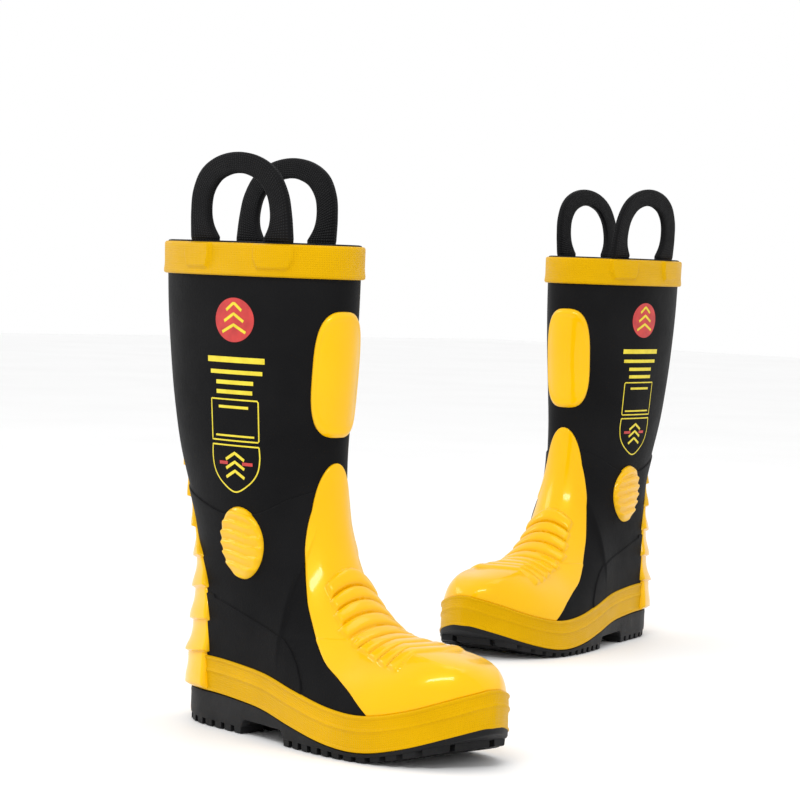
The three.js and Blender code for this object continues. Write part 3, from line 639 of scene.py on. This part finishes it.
def cup(pile, outer, inner, floor_low, floor_high, rows=150, columns=220, rim=1.2):
    """Boot-shaped cup between two lifts, open at the top with a rounded rim."""
    F, S = np.meshgrid(full_ring(columns), np.linspace(0, 1, rows))
    p, n = with_normal(F, S)

    def skin(lift, floor):
        q = p + n * lift
        least = feather(q[..., 0]) + floor + 0.02 * np.arange(rows)[:, None]
        q[..., 2] = np.maximum(q[..., 2], least)
        return q

    outside, inside = skin(outer, floor_low), skin(inner, floor_high)
    mid = (outside[-1] + inside[-1]) / 2 + [0, 0, rim]
    shoulders = [edge[-1] * 0.8 + mid * 0.2 + [0, 0, rim * 0.5] for edge in (outside, inside)]
    points = np.concatenate([outside, [shoulders[0], mid, shoulders[1]], inside[::-1]])
    around, along = lengths(points[rows // 2]), lengths(points[:, 0])
    flat = np.stack(np.broadcast_arrays(around[None, :], along[:, None]), -1)
    faces = grid_faces(len(points), columns, True) + end_faces(len(points), columns)
    pile.add(points, faces, flat)


def upper_shell(boot):
    """Black rubber foot and shaft, 4.7 thick."""
    pile = Pile()
    cup(pile, 0.0, -4.7, 0.4, 2.6)
    make(boot, "shell", pile, "black", "upper_shell")


def lining(boot):
    """Knitted cloth just inside the shell."""
    pile = Pile()
    cup(pile, -4.9, -6.5, 8.6, 10, rim=0.6)
    make(boot, "lining_knit", pile, "lining", "lining")


def foxing(boot):
    """Yellow band over the sole joint: woven face, rounded foot and a ridge under its top edge."""
    # (height above the feather line, lift from the shell)
    profile = [(0.3, 0.6), (0.4, 3.2), (0.9, 4.3), (1.7, 4.5), (2.5, 4.2), (3.0, 3.7), (3.6, 3.6), (8, 3.6),
               (11, 3.5), (13.6, 3.4), (14.2, 3.6), (14.9, 4.1), (15.7, 4.2), (16.5, 3.9), (17.0, 3.3),
               (17.6, 3.1), (20, 3.0), (22.6, 2.9), (23.2, 3.1), (23.9, 3.7), (24.7, 3.8), (25.4, 3.3),
               (25.9, 2.2), (26, -0.6)]
    sunk_back = [(25.0, -0.8), (1.0, -0.8)]
    f = full_ring(SOLE_COLUMNS)
    pts, flat = [], []
    for height, lift in profile + sunk_back:
        p, n = with_normal(f, s_above_feather(f, height))
        pts.append(p + n * lift)
        reach = lengths(p)
        flat.append(np.stack([reach, np.full_like(reach, height)], -1))
    flat[-2:] = [flat[len(profile) - 1], flat[0]]
    pile = Pile()
    pile.add(np.array(pts), band_faces(len(pts), len(f)), np.array(flat))
    make(boot, "foxing", pile, "weave", "foxing_band")


def flat_rim(columns):
    """The sole's edge line with outward normals that lie flat."""
    f = full_ring(columns)
    rim, n = with_normal(f, np.zeros_like(f))
    n[:, 2] = 0
    return rim, n / np.linalg.norm(n, axis=-1, keepdims=True)


def sole_bottom(x):
    return np.interp(x, sole_line[:, 0], sole_line[:, 1])


def outsole(boot):
    """Black sole: a slab that follows the feather line, with heel and forefoot lugs under it."""
    rim, n = flat_rim(SOLE_COLUMNS)

    def ring(lift, share):
        q = rim + n * lift
        top, bottom = feather(q[:, 0]), sole_bottom(q[:, 0])
        depth = np.minimum(4.6, (top - bottom) * 0.55)
        q[:, 2] = (bottom + depth) * (1 - share) + top * share
        return q

    # (lift from the edge line, share of the way from the slab's underside to its top)
    levels = [(-8, 0), (2.6, 0), (3.4, 0.06), (3.7, 0.2), (3.7, 0.75), (3.9, 0.86), (3.6, 0.97), (2.2, 1.0),
              (-9, 1.0)]
    pts = np.array([ring(lift, share) for lift, share in levels])
    reach = lengths(rim)
    flat = np.array([np.stack([reach, np.full_like(reach, 6.0 * k)], -1) for k in range(len(levels))])
    pile = Pile()
    faces = grid_faces(len(levels), len(rim), True) + end_faces(len(levels), len(rim))
    pile.add(pts, faces, flat)
    add_lugs(pile, rim, n)
    make(boot, "tread", pile, "sole", "outsole", 35, bevel=0.5)


def sole_edge(rim, n, lift):
    """The sole's edge in plan, moved out by lift: (x, y) rows for each side, sorted by x."""
    q = rim + n * lift
    out = {}
    for side in (LATERAL, MEDIAL):
        part = q[(q[:, 1] - look(centre_line, q[:, 0])) * side > 0]
        part = part[part[:, 0].argsort()]
        out[side] = part[:, :2]
    return out


def add_block(pile, corners_low, corners_high, low, high):
    """Block between two four-cornered outlines; low and high give z over x."""
    pts = [(x, y, low(x)) for x, y in corners_low] + [(x, y, high(x)) for x, y in corners_high]
    faces = [(3, 2, 1, 0), (4, 5, 6, 7), (0, 1, 5, 4), (1, 2, 6, 5), (2, 3, 7, 6), (3, 0, 4, 7)]
    pile.add(pts, faces, [(p[0], p[1]) for p in pts])


LUG_RUNS = [(14, 97, 12.4, 8.6), (152.5, 290, 11.2, 7.4)]   # start, end, pitch, length: heel, forefoot
LUG_SKEW = 1.6                                              # how much further on a lug's inner end sits


def add_lugs(pile, rim, n):
    """Rows of a lug at each edge and one on the centre line."""
    edge = sole_edge(rim, n, 3.0)

    def edge_y(x, side):
        return float(np.interp(x, edge[side][:, 0], edge[side][:, 1]))

    def bottom(x):
        return float(sole_bottom(x))

    def top(x):
        return bottom(x) + min(5.2, (float(feather(x)) - bottom(x)) * 0.6) + 1.0

    for start, end, pitch, length in LUG_RUNS:
        a = start
        while a + length <= end:
            b = a + length
            middle = float(look(centre_line, np.array((a + b) / 2)))
            for side in (LATERAL, MEDIAL):
                y_a, y_b = edge_y(a, side), edge_y(b, side)
                reach = abs(y_a - middle)
                inner = middle + side * reach * 0.56
                foot_b, foot_a = (b + LUG_SKEW, inner), (a + LUG_SKEW, inner)
                root_b, root_a = ((x, inner - side * 0.8) for x in (b + LUG_SKEW, a + LUG_SKEW))
                low = [(a + 0.4, y_a - side * 0.5), (b - 0.4, y_b - side * 0.5), foot_b, foot_a]
                high = [(a, y_a), (b, y_b), root_b, root_a]
                order = slice(None) if side < 0 else slice(None, None, -1)
                add_block(pile, low[order], high[order], bottom, top)
            y_low, y_high = middle - reach * 0.44, middle + reach * 0.44
            low = [(a + 2, y_low), (b + 1, y_low), (b + 1, y_high), (a + 2, y_high)]
            add_block(pile, low, low, bottom, top)
            a += pitch


def insole(boot):
    """Loose felted footbed with rounded edges."""
    rim, n = flat_rim(200)
    # (lift from the edge line, height above the feather line)
    levels = [(-9.0, 10.5), (-7.9, 11.2), (-7.6, 12.4), (-7.9, 13.6), (-9.2, 14.4), (-12, 14.7)]
    pts = []
    for lift, height in levels:
        q = rim + n * lift
        q[:, 2] = feather(q[:, 0]) + height
        pts.append(q)
    pts = np.array(pts)
    pile = Pile()
    faces = grid_faces(len(levels), len(rim), True) + end_faces(len(levels), len(rim))
    pile.add(pts, faces, pts[..., :2])
    piece = make(boot, "footbed", pile, "insole", "insole", body="insole")


def vamp_share_at(c, s):
    """Front layer's edge, as |f|, on the side of c's sign at ring s."""
    lateral, medial = (np.interp(s, *vamp_share[way].T) for way in (LATERAL, MEDIAL))
    return np.where(c < 0, lateral, medial)


def rib_height(p, arc):
    """Cross ribs over the instep: each lies in one plane across the foot and fades at its ends."""
    pitch = np.gradient([float(x) for x, z in RIB_ENDS])
    height = np.zeros(p.shape[:2])
    for k, (x, z) in enumerate(RIB_ENDS):
        share = k / (len(RIB_ENDS) - 1)
        s0, f0 = nearest(x, z, LATERAL)
        reach = f0 * float(half_length(LATERAL, s0)) + 2
        off = np.abs(p[..., 0] - x - 0.03 * (p[..., 1] + 20))
        t = np.clip(off / (0.46 * pitch[k]), 0, 1)
        fade = np.sqrt(smooth(0, 1, (reach - np.abs(arc)) / 3.6))
        height = np.maximum(height, (3.5 - 1.0 * share) * np.sqrt(1 - t**3) * fade)
    return height


def vamp(boot):
    """Glossy yellow layer over the toe and instep."""
    rs = steps(330, 300, 2.2)
    cs = steps(120, 200, 2.2) * 2 - 1
    R, C = np.meshgrid(rs, cs, indexing="ij")
    S = np.full(R.shape, 0.1)
    for _ in range(8):
        F = vamp_share_at(C, S) * C
        low = s_above_feather(F, LAYER_START)
        S = low + (CROWN_TOP - low) * R
    F = vamp_share_at(C, S) * C
    p, n = with_normal(F, S)
    arc = F * np.where(F < 0, half_length(LATERAL, S), half_length(MEDIAL, S))
    pile = Pile()
    shell_sheet(pile, p, n, rib_height(p, arc), 2.0, soft=1.8)
    make(boot, "vamp", pile, "gloss", "vamp_overlay", 60)


def quarter(boot):
    """Thin black layer round the ankle and heel, with a second one low on each side whose edge is a seam."""
    pile = Pile()
    rs = steps(60, 120, 1.2)
    cs = steps(220, 400, 1.2) * 2 - 1
    R, C = np.meshgrid(rs, cs, indexing="ij")
    side = np.where(C < 0, -1, 1)
    share = np.abs(C)
    S = np.full(R.shape, 0.2)
    for _ in range(8):
        edge = vamp_share_at(side, S)
        F = (1 - share) + share * edge
        low = s_above_feather(side * F, LAYER_START)
        high = s_at_z(side * F, look(seam_height, share))
        S = low + (high - low) * R
    p, n = with_normal(side * F, S)
    shell_sheet(pile, p[:, ::-1], n[:, ::-1], 0.0, 1.1, soft=1.0)
    seam_x, seam_z = np.array(HEEL_SEAM, float).T
    x = 30 + (172 - 30) * np.linspace(0, 1, 90)
    top = np.interp(x, seam_x, seam_z, left=97)
    rows = steps(24, 50, 1.4)
    X = np.tile(x, (len(rows), 1))
    base = feather(X) + LAYER_START
    Z = base + (np.maximum(top[None, :], base + 0.5) - base) * rows[:, None]
    for way in (LATERAL, MEDIAL):
        p, n = on_side(X, Z, way)
        if way > 0:
            p, n = p[:, ::-1], n[:, ::-1]
        shell_sheet(pile, p, n, 0.0, 2.0, soft=1.2)
    make(boot, "quarter", pile, "black", "quarter_layer", 60)


def pad_grid(rows, columns):
    """Grid from -1 to 1 both ways, crowded towards its edges."""
    v, u = (np.sin(np.linspace(-1, 1, count) * math.pi / 2) for count in (rows, columns))
    return np.meshgrid(v, u, indexing="ij")


def ankle_guard(boot, name, side):
    """Oval pad with wavy cross ribs over the ankle bone."""
    cx, cz, rx, rz = 82, 137, 22.5, 26
    V, U = pad_grid(70, 50)
    half = np.sqrt(np.clip(1 - V**2, 0.0004, 1)) * rx
    X = cx + U * half - V * rz * 0.2
    Z = cz + V * rz
    p, n = on_side(X, Z, side)
    d = (1 - np.sqrt(np.clip((U * half / rx) ** 2 + V**2, 0, 1))) * min(rx, rz)
    dome = 3.4 * np.sqrt(1 - (1 - np.clip(d / 3.0, 0, 1)) ** 2)
    phase = (Z - cz + 1.6 * np.sin((X - cx) / 9.0)) / 7.6
    saw = phase - np.floor(phase)
    rib = np.where(saw < 0.8, saw / 0.8, (1 - saw) / 0.2)
    lift = dome + 2.2 * smooth(0, 1, rib) * np.clip(d / 3.0, 0, 1)
    if side > 0:
        p, n, lift = p[:, ::-1], n[:, ::-1], lift[:, ::-1]
    pile = Pile()
    shell_sheet(pile, p, n, lift, 0.0, soft=1.0, sunk=0.6)
    make(boot, f"ankle_{name}", pile, "gloss", f"ankle_guard_{name}", 60)


def shin_guard(boot):
    """Rounded rectangular pad on the front of the shaft, with a faint raised rim."""
    low, high, width = 217, 308, 23
    V, U = pad_grid(90, 60)
    z = low + (high - low) * (V + 1) / 2
    half = np.clip(1 - np.abs(V) ** 3, 0.0005, 1) ** (1 / 3) * width
    S = s_at_z(np.zeros_like(z), z)
    F = U * half / np.where(U < 0, half_length(LATERAL, S), half_length(MEDIAL, S))
    p, n = with_normal(F, S)
    d = (1 - np.clip((np.abs(U) * half / width) ** 3 + np.abs(V) ** 3, 0, 1) ** (1 / 3)) * 26
    rim = np.exp(-((d - 2.4) / 1.3) ** 2) * 0.5
    lift = 2.5 * np.sqrt(1 - (1 - np.clip(d / 2.2, 0, 1)) ** 2) + rim + 1.0 * smooth(0, 24, d)
    pile = Pile()
    shell_sheet(pile, p, n, lift, 0.0, soft=1.0, sunk=0.6)
    make(boot, "shin", pile, "gloss", "shin_guard", 60)


def spine(boot):
    """Overlapping scales up the back of the boot."""
    low, high, scales = 26.0, 209.0, 8
    pitch = (high - low) / scales
    within = (0.0, 0.03, 0.07, 0.13, 0.22, 0.35, 0.5, 0.65, 0.8, 0.9, 0.97)
    zs = np.array([low + k * pitch + pitch * t for k in range(scales) for t in within] + [high])
    cs = steps(60, 60, 2.0) * 2 - 1
    Z, C = np.meshgrid(zs, cs, indexing="ij")
    phase = (Z - low) / pitch
    phase = phase - np.floor(phase)
    S = s_at_z(np.ones_like(Z), Z)
    half = look(spine_half, Z) * (1 + 0.05 * (1 - phase))
    F = 1 + C * half / half_length(MEDIAL, S)
    p, n = with_normal(F, S)
    base = 5.6 - 3.0 * smooth(48, 62, p[..., 2])
    lip = 2.9 * smooth(0, 0.07, phase) * (1 - smooth(0.05, 0.8, phase))
    edge = np.clip((1 - np.abs(C)) * half / 2.2, 0, 1)
    lift = (base + lip) * np.sqrt(1 - (1 - edge) ** 2)
    top = smooth(0, 3.0, high - Z)
    pile = Pile()
    shell_sheet(pile, p, n, lift * (0.3 + 0.7 * top), 0.0, soft=1.0, sunk=0.6)
    make(boot, "spine", pile, "gloss", "heel_spine", 60)


def collar(boot):
    """Woven yellow band round the top edge, swelling over the four feet of the pull loops."""
    f = full_ring(560)
    plain_lift, plain_heights = 2.6, (339.4, 341, 343, 345, 348, 350.5, 352.6)
    profile = [(331, -0.5), (331.05, 1.6), (331.5, 2.7), (332.5, 3.2), (334, 3.2), (335.2, 3.0), (336, 2.9),
               (336.8, 2.8), (337.6, 2.7), (338.4, 2.7), *((z, plain_lift) for z in plain_heights),
               (353.9, 2.4), (354.7, 1.8), (BOOT_TOP, 0.8), (BOOT_TOP, -0.5)]
    feet = [(way, HANDLE_X[way] + end * HANDLE_SPREAD) for way in (LATERAL, MEDIAL) for end in (-1, 1)]
    pts, flat = [], []
    for z, lift in profile:
        s = s_at_z(f, z) if z < BOOT_TOP else np.ones_like(f)
        p, n = with_normal(f, s)
        swell = np.zeros_like(f)
        half = 12.0 + 4.0 * min((z - 335) / 9, 1)
        for way, foot in feet:
            near = smooth(0, 1, (half - np.abs(p[:, 0] - foot)) / 2.6) * (f * way > 0)
            swell = np.maximum(swell, near * smooth(335.4, 338.2, z) * np.clip((355.2 - z) / 1.2, 0, 1))
        pts.append(p + n * (lift + 2.6 * swell * (lift > 0))[:, None])
        reach = lengths(p)
        flat.append(np.stack([reach, np.full_like(reach, z)], -1))
    pile = Pile()
    pile.add(np.array(pts), band_faces(len(pts), len(f)), np.array(flat))
    make(boot, "collar", pile, "weave", "collar_band")


def arch(half_outline):
    """Whole edge of a pull loop from its half outline, in 120 equal steps."""
    c = curve(list(half_outline) + [(-x, z) for x, z in half_outline[-2::-1]], 20)
    reach = lengths(c)
    want = np.linspace(0, reach[-1], 121)
    return np.stack([np.interp(want, reach, c[:, k]) for k in range(2)], -1)


def squared(wave, power):
    return np.sign(wave) * np.abs(wave) ** power


def handle(boot, name, side):
    """Pull loop: a flat rounded strap in an arch, its feet running down behind the collar."""
    outer, inner = arch(HANDLE_OUTER), arch(HANDLE_INNER)
    centre, half = (outer + inner) / 2, (outer - inner) / 2
    down = np.array([[0, -k] for k in (9.0, 6.0, 3.5, 1.5)])
    centre = np.concatenate([centre[0] + down, centre, (centre[-1] + down)[::-1]])
    half = np.concatenate([half[:1].repeat(len(down), 0), half, half[-1:].repeat(len(down), 0)])
    turn = np.linspace(0, 2 * math.pi, 28, endpoint=False)
    ring_u, ring_v = squared(np.cos(turn), 0.42), squared(np.sin(turn), 0.62)
    z = centre[:, 1][:, None] + half[:, 1][:, None] * ring_u
    x = centre[:, 0][:, None] + half[:, 0][:, None] * ring_u
    thick = 1.7 + 1.5 * smooth(-5, 1, z)
    y = side * (np.tan(HANDLE_LEAN) * z + thick * ring_v)
    c, t = math.cos(HANDLE_TURN), math.sin(HANDLE_TURN)
    pts = np.stack([HANDLE_X[side] + c * x - t * y, side * HANDLE_Y + t * x + c * y, PIVOT_Z + z], -1)
    flat = np.stack(np.broadcast_arrays(lengths(centre)[:, None], (ring_u * 10 + ring_v * 3)[None, :]), -1)
    count = len(turn)
    faces = grid_faces(len(centre), count, True, flip=side > 0)
    start, end = range(count), range((len(centre) - 1) * count, len(centre) * count)
    faces.append(tuple(start[::-1] if side < 0 else start))
    faces.append(tuple(end if side < 0 else end[::-1]))
    pile = Pile()
    pile.add(pts, faces, flat)
    piece = make(boot, f"{name}_loop", pile, "webbing", name, 70, body=None)
    low, high = (to_row([[HANDLE_X[side], side * HANDLE_Y, h]], boot)[0] for h in (PIVOT_Z - 6, PIVOT_Z + 7))
    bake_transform(piece)


# ---------------------------------------------------------------------------
# Generic print on the lateral side: a plain badge, bars, a frame and a shield outline
# ---------------------------------------------------------------------------
def stroke(pile, points, width, lift=0.18):
    """Flat line laid on the lateral side along (x, z) points."""
    c = np.array(points, float)
    d = np.gradient(c, axis=0)
    d /= np.linalg.norm(d, axis=1, keepdims=True)
    across = np.stack([-d[:, 1], d[:, 0]], -1) * width / 2
    edge = np.stack([c - across, c + across], 0)
    p, n = on_side(edge[..., 0], edge[..., 1], LATERAL)
    pile.add(p + n * lift, grid_faces(2, len(c)), edge)


def filled(pile, outline_low, outline_high, lift=0.2):
    """Flat shape between two (x, z) edges that run side by side."""
    low, high = np.array(outline_low, float), np.array(outline_high, float)
    t = np.linspace(0, 1, 5)[:, None, None]
    edge = low[None] * (1 - t) + high[None] * t
    p, n = on_side(edge[..., 0], edge[..., 1], LATERAL)
    pile.add(p + n * lift, grid_faces(len(t), len(low)), edge)


def resample(points, spacing=2.0):
    """The same line in steps of about that spacing."""
    p = np.array(points, float)
    reach = lengths(p)
    want = np.linspace(0, reach[-1], max(int(reach[-1] / spacing), 2) + 1)
    return np.stack([np.interp(want, reach, p[:, k]) for k in range(2)], -1)


def bar(pile, x0, x1, z, height):
    x = np.linspace(x0, x1, 14)
    low, high = (np.stack([x, np.full_like(x, z + way * height / 2)], -1) for way in (-1, 1))
    filled(pile, low, high)


def chevrons(pile, x, z, pitch, half, taper, rise, lift):
    """Three upward chevrons one above the other."""
    for k in range(3):
        w, level = half - taper * k, z + pitch * k
        stroke(pile, resample([(x - w, level), (x, level + rise), (x + w, level)]), 2.2, lift)


BADGE_X, BADGE_Z, BADGE_HALF, BADGE_SQUASH = 75.0, 299.0, 19.0, 0.85
# from x, to x, z, height
BARS = [(47, 103, 270, 4.2), (50, 101, 261, 3.0), (56, 93, 253.5, 3.0), (56, 92, 246.5, 3.0),
        (58, 88, 235.5, 2.0), (54, 93, 214.5, 1.4)]
FRAME = [(50, 241), (97, 241), (97, 211), (50, 211), (50, 241)]
SHIELD_TOP = [(97, 207.5), (50, 207.5)]
SHIELD_SIDE = [(50, 207.5), (49.5, 198), (52, 188), (60, 179.5), (73.5, 173.5), (87, 179.5), (95, 188),
               (97.5, 198), (97, 207.5)]


def prints(boot):
    """Red badge with chevrons, bars, an empty frame and an outline shield with chevrons."""
    yellow, red = Pile(), Pile()
    a = np.linspace(0, math.pi, 25)
    x, rise = BADGE_X - BADGE_HALF * np.cos(a), BADGE_HALF * BADGE_SQUASH * np.sin(a)
    filled(red, np.stack([x, BADGE_Z - rise], -1), np.stack([x, BADGE_Z + rise], -1), 0.16)
    chevrons(yellow, BADGE_X, BADGE_Z - 9, 8.0, 11.5, 2.0, 5.5, 0.3)
    for x0, x1, z, height in BARS:
        bar(yellow, x0, x1, z, height)
    stroke(yellow, resample(FRAME), 1.1)
    stroke(yellow, np.vstack([resample(SHIELD_TOP), curve(SHIELD_SIDE, 10)[1:]]), 1.1)
    chevrons(yellow, 73.5, 184, 6.5, 9.5, 0.0, 5.0, 0.18)
    for x0, x1 in ((81, 91), (57, 66)):
        bar(red, x0, x1, 194.5, 2.4)
    for pile, ink in ((yellow, "yellow"), (red, "red")):
        make(boot, f"print_{ink}", pile, f"ink_{ink}", "side_print")


# Solids that stay as they are and only get a material.
INNER = {"steel_toe_cap": "steel", "steel_midsole": "steel", "heel_counter": "board", "insole_board": "board",
         "filler_sole": "foam", "handle_foot_lateral_front": "webbing", "handle_foot_lateral_back": "webbing",
         "handle_foot_medial_front": "webbing", "handle_foot_medial_back": "webbing"}


def inner_nodes(boot):
    for node, finish_name in INNER.items():
        slots = frame["nodes"][f"{boot}_{node}"].data.materials
        for k in range(len(slots)):
            slots[k] = MATERIALS[finish_name]


for boot in ("right", "left"):
    inner_nodes(boot)
    upper_shell(boot)
    lining(boot)
    insole(boot)
    outsole(boot)
    foxing(boot)
    quarter(boot)
    vamp(boot)
    shin_guard(boot)
    ankle_guard(boot, "lateral", LATERAL)
    ankle_guard(boot, "medial", MEDIAL)
    spine(boot)
    collar(boot)
    handle(boot, "handle_lateral", LATERAL)
    handle(boot, "handle_medial", MEDIAL)
    prints(boot)


# ---------------------------------------------------------------------------
# Camera, floor and light
# ---------------------------------------------------------------------------
CAMERA_AT = (1703.0, -1423.4, 345.7)        # in the boot's frame, millimetres
CAMERA_YAW, CAMERA_PITCH, CAMERA_ROLL = 46.47, 2.70, 2.07
CAMERA_LENS = 132.2
FLOOR_HALF = 8.0
# name, place, aim, size in metres, power in watts
LIGHTS = [("key", (1.2, -1.9, 2.2), (0, 0, 0.2), (1.3, 0.3), 26),
          ("fill", (-1.8, -1.2, 1.4), (0, 0, 0.2), (0.8, 0.8), 8),
          ("top", (0.2, 0.2, 2.6), (0, 0, 0), (1.2, 1.2), 8)]


def put(name, data, across, upward, back, place):
    """Adds a camera or a light with its axes at a place."""
    obj = bpy.data.objects.new(name, data)
    bpy.context.scene.collection.objects.link(obj)
    m = np.eye(4)
    m[:3, 0], m[:3, 1], m[:3, 2], m[:3, 3] = across, upward, back, place
    obj.matrix_world = Matrix(m.tolist())
    return obj


def camera():
    yaw, pitch, roll = (math.radians(v) for v in (CAMERA_YAW, CAMERA_PITCH, CAMERA_ROLL))
    ahead = np.array([-math.sin(yaw) * math.cos(pitch), math.cos(yaw) * math.cos(pitch), -math.sin(pitch)])
    right = np.array([math.cos(yaw), math.sin(yaw), 0.0])
    up = np.cross(right, ahead)
    across = math.cos(roll) * right + math.sin(roll) * up
    upward = -math.sin(roll) * right + math.cos(roll) * up
    data = bpy.data.cameras.new("camera")
    data.lens = CAMERA_LENS
    data.sensor_width = 36
    data.clip_end = 60
    at = (np.array(CAMERA_AT) - SHIFT) / 1000
    bpy.context.scene.camera = put("camera", data, across, upward, -ahead, at)


def area_light(name, place, aim, size, power):
    data = bpy.data.lights.new(name, "AREA")
    data.shape = "RECTANGLE"
    data.size, data.size_y = size
    data.energy = power
    back = np.array(place, float) - np.array(aim, float)
    back /= np.linalg.norm(back)
    across = np.cross([0, 0, 1.0], back)
    across /= np.linalg.norm(across)
    put(name, data, across, np.cross(back, across), back, place)


def studio():
    mesh = bpy.data.meshes.new("floor")
    r = FLOOR_HALF
    mesh.from_pydata([(-r, -r, 0), (r, -r, 0), (r, r, 0), (-r, r, 0)], [], [(0, 1, 2, 3)])
    n = Nodes("pale_floor")
    tones = [(0.3, (0.93, 0.93, 0.93)), (0.7, (0.96, 0.96, 0.96))]
    n.ramp(n.noise(3, 3), "Fac", tones, n.shader, "Base Color")
    n.span(n.noise(40, 4), "Fac", 0.55, 0.7, n.shader, "Roughness")
    mesh.materials.append(n.material)
    floor = bpy.data.objects.new("floor", mesh)
    bpy.context.scene.collection.objects.link(floor)
    floor.location.z = -0.0005
    world = bpy.data.worlds.new("studio")
    world.use_nodes = True
    backdrop = world.node_tree.nodes["Background"]
    backdrop.inputs["Color"].default_value = (1, 1, 1, 1)
    backdrop.inputs["Strength"].default_value = 1.0
    bpy.context.scene.world = world
    bpy.context.scene.view_settings.view_transform = "Standard"
    for light in LIGHTS:
        area_light(*light)


camera()
studio()
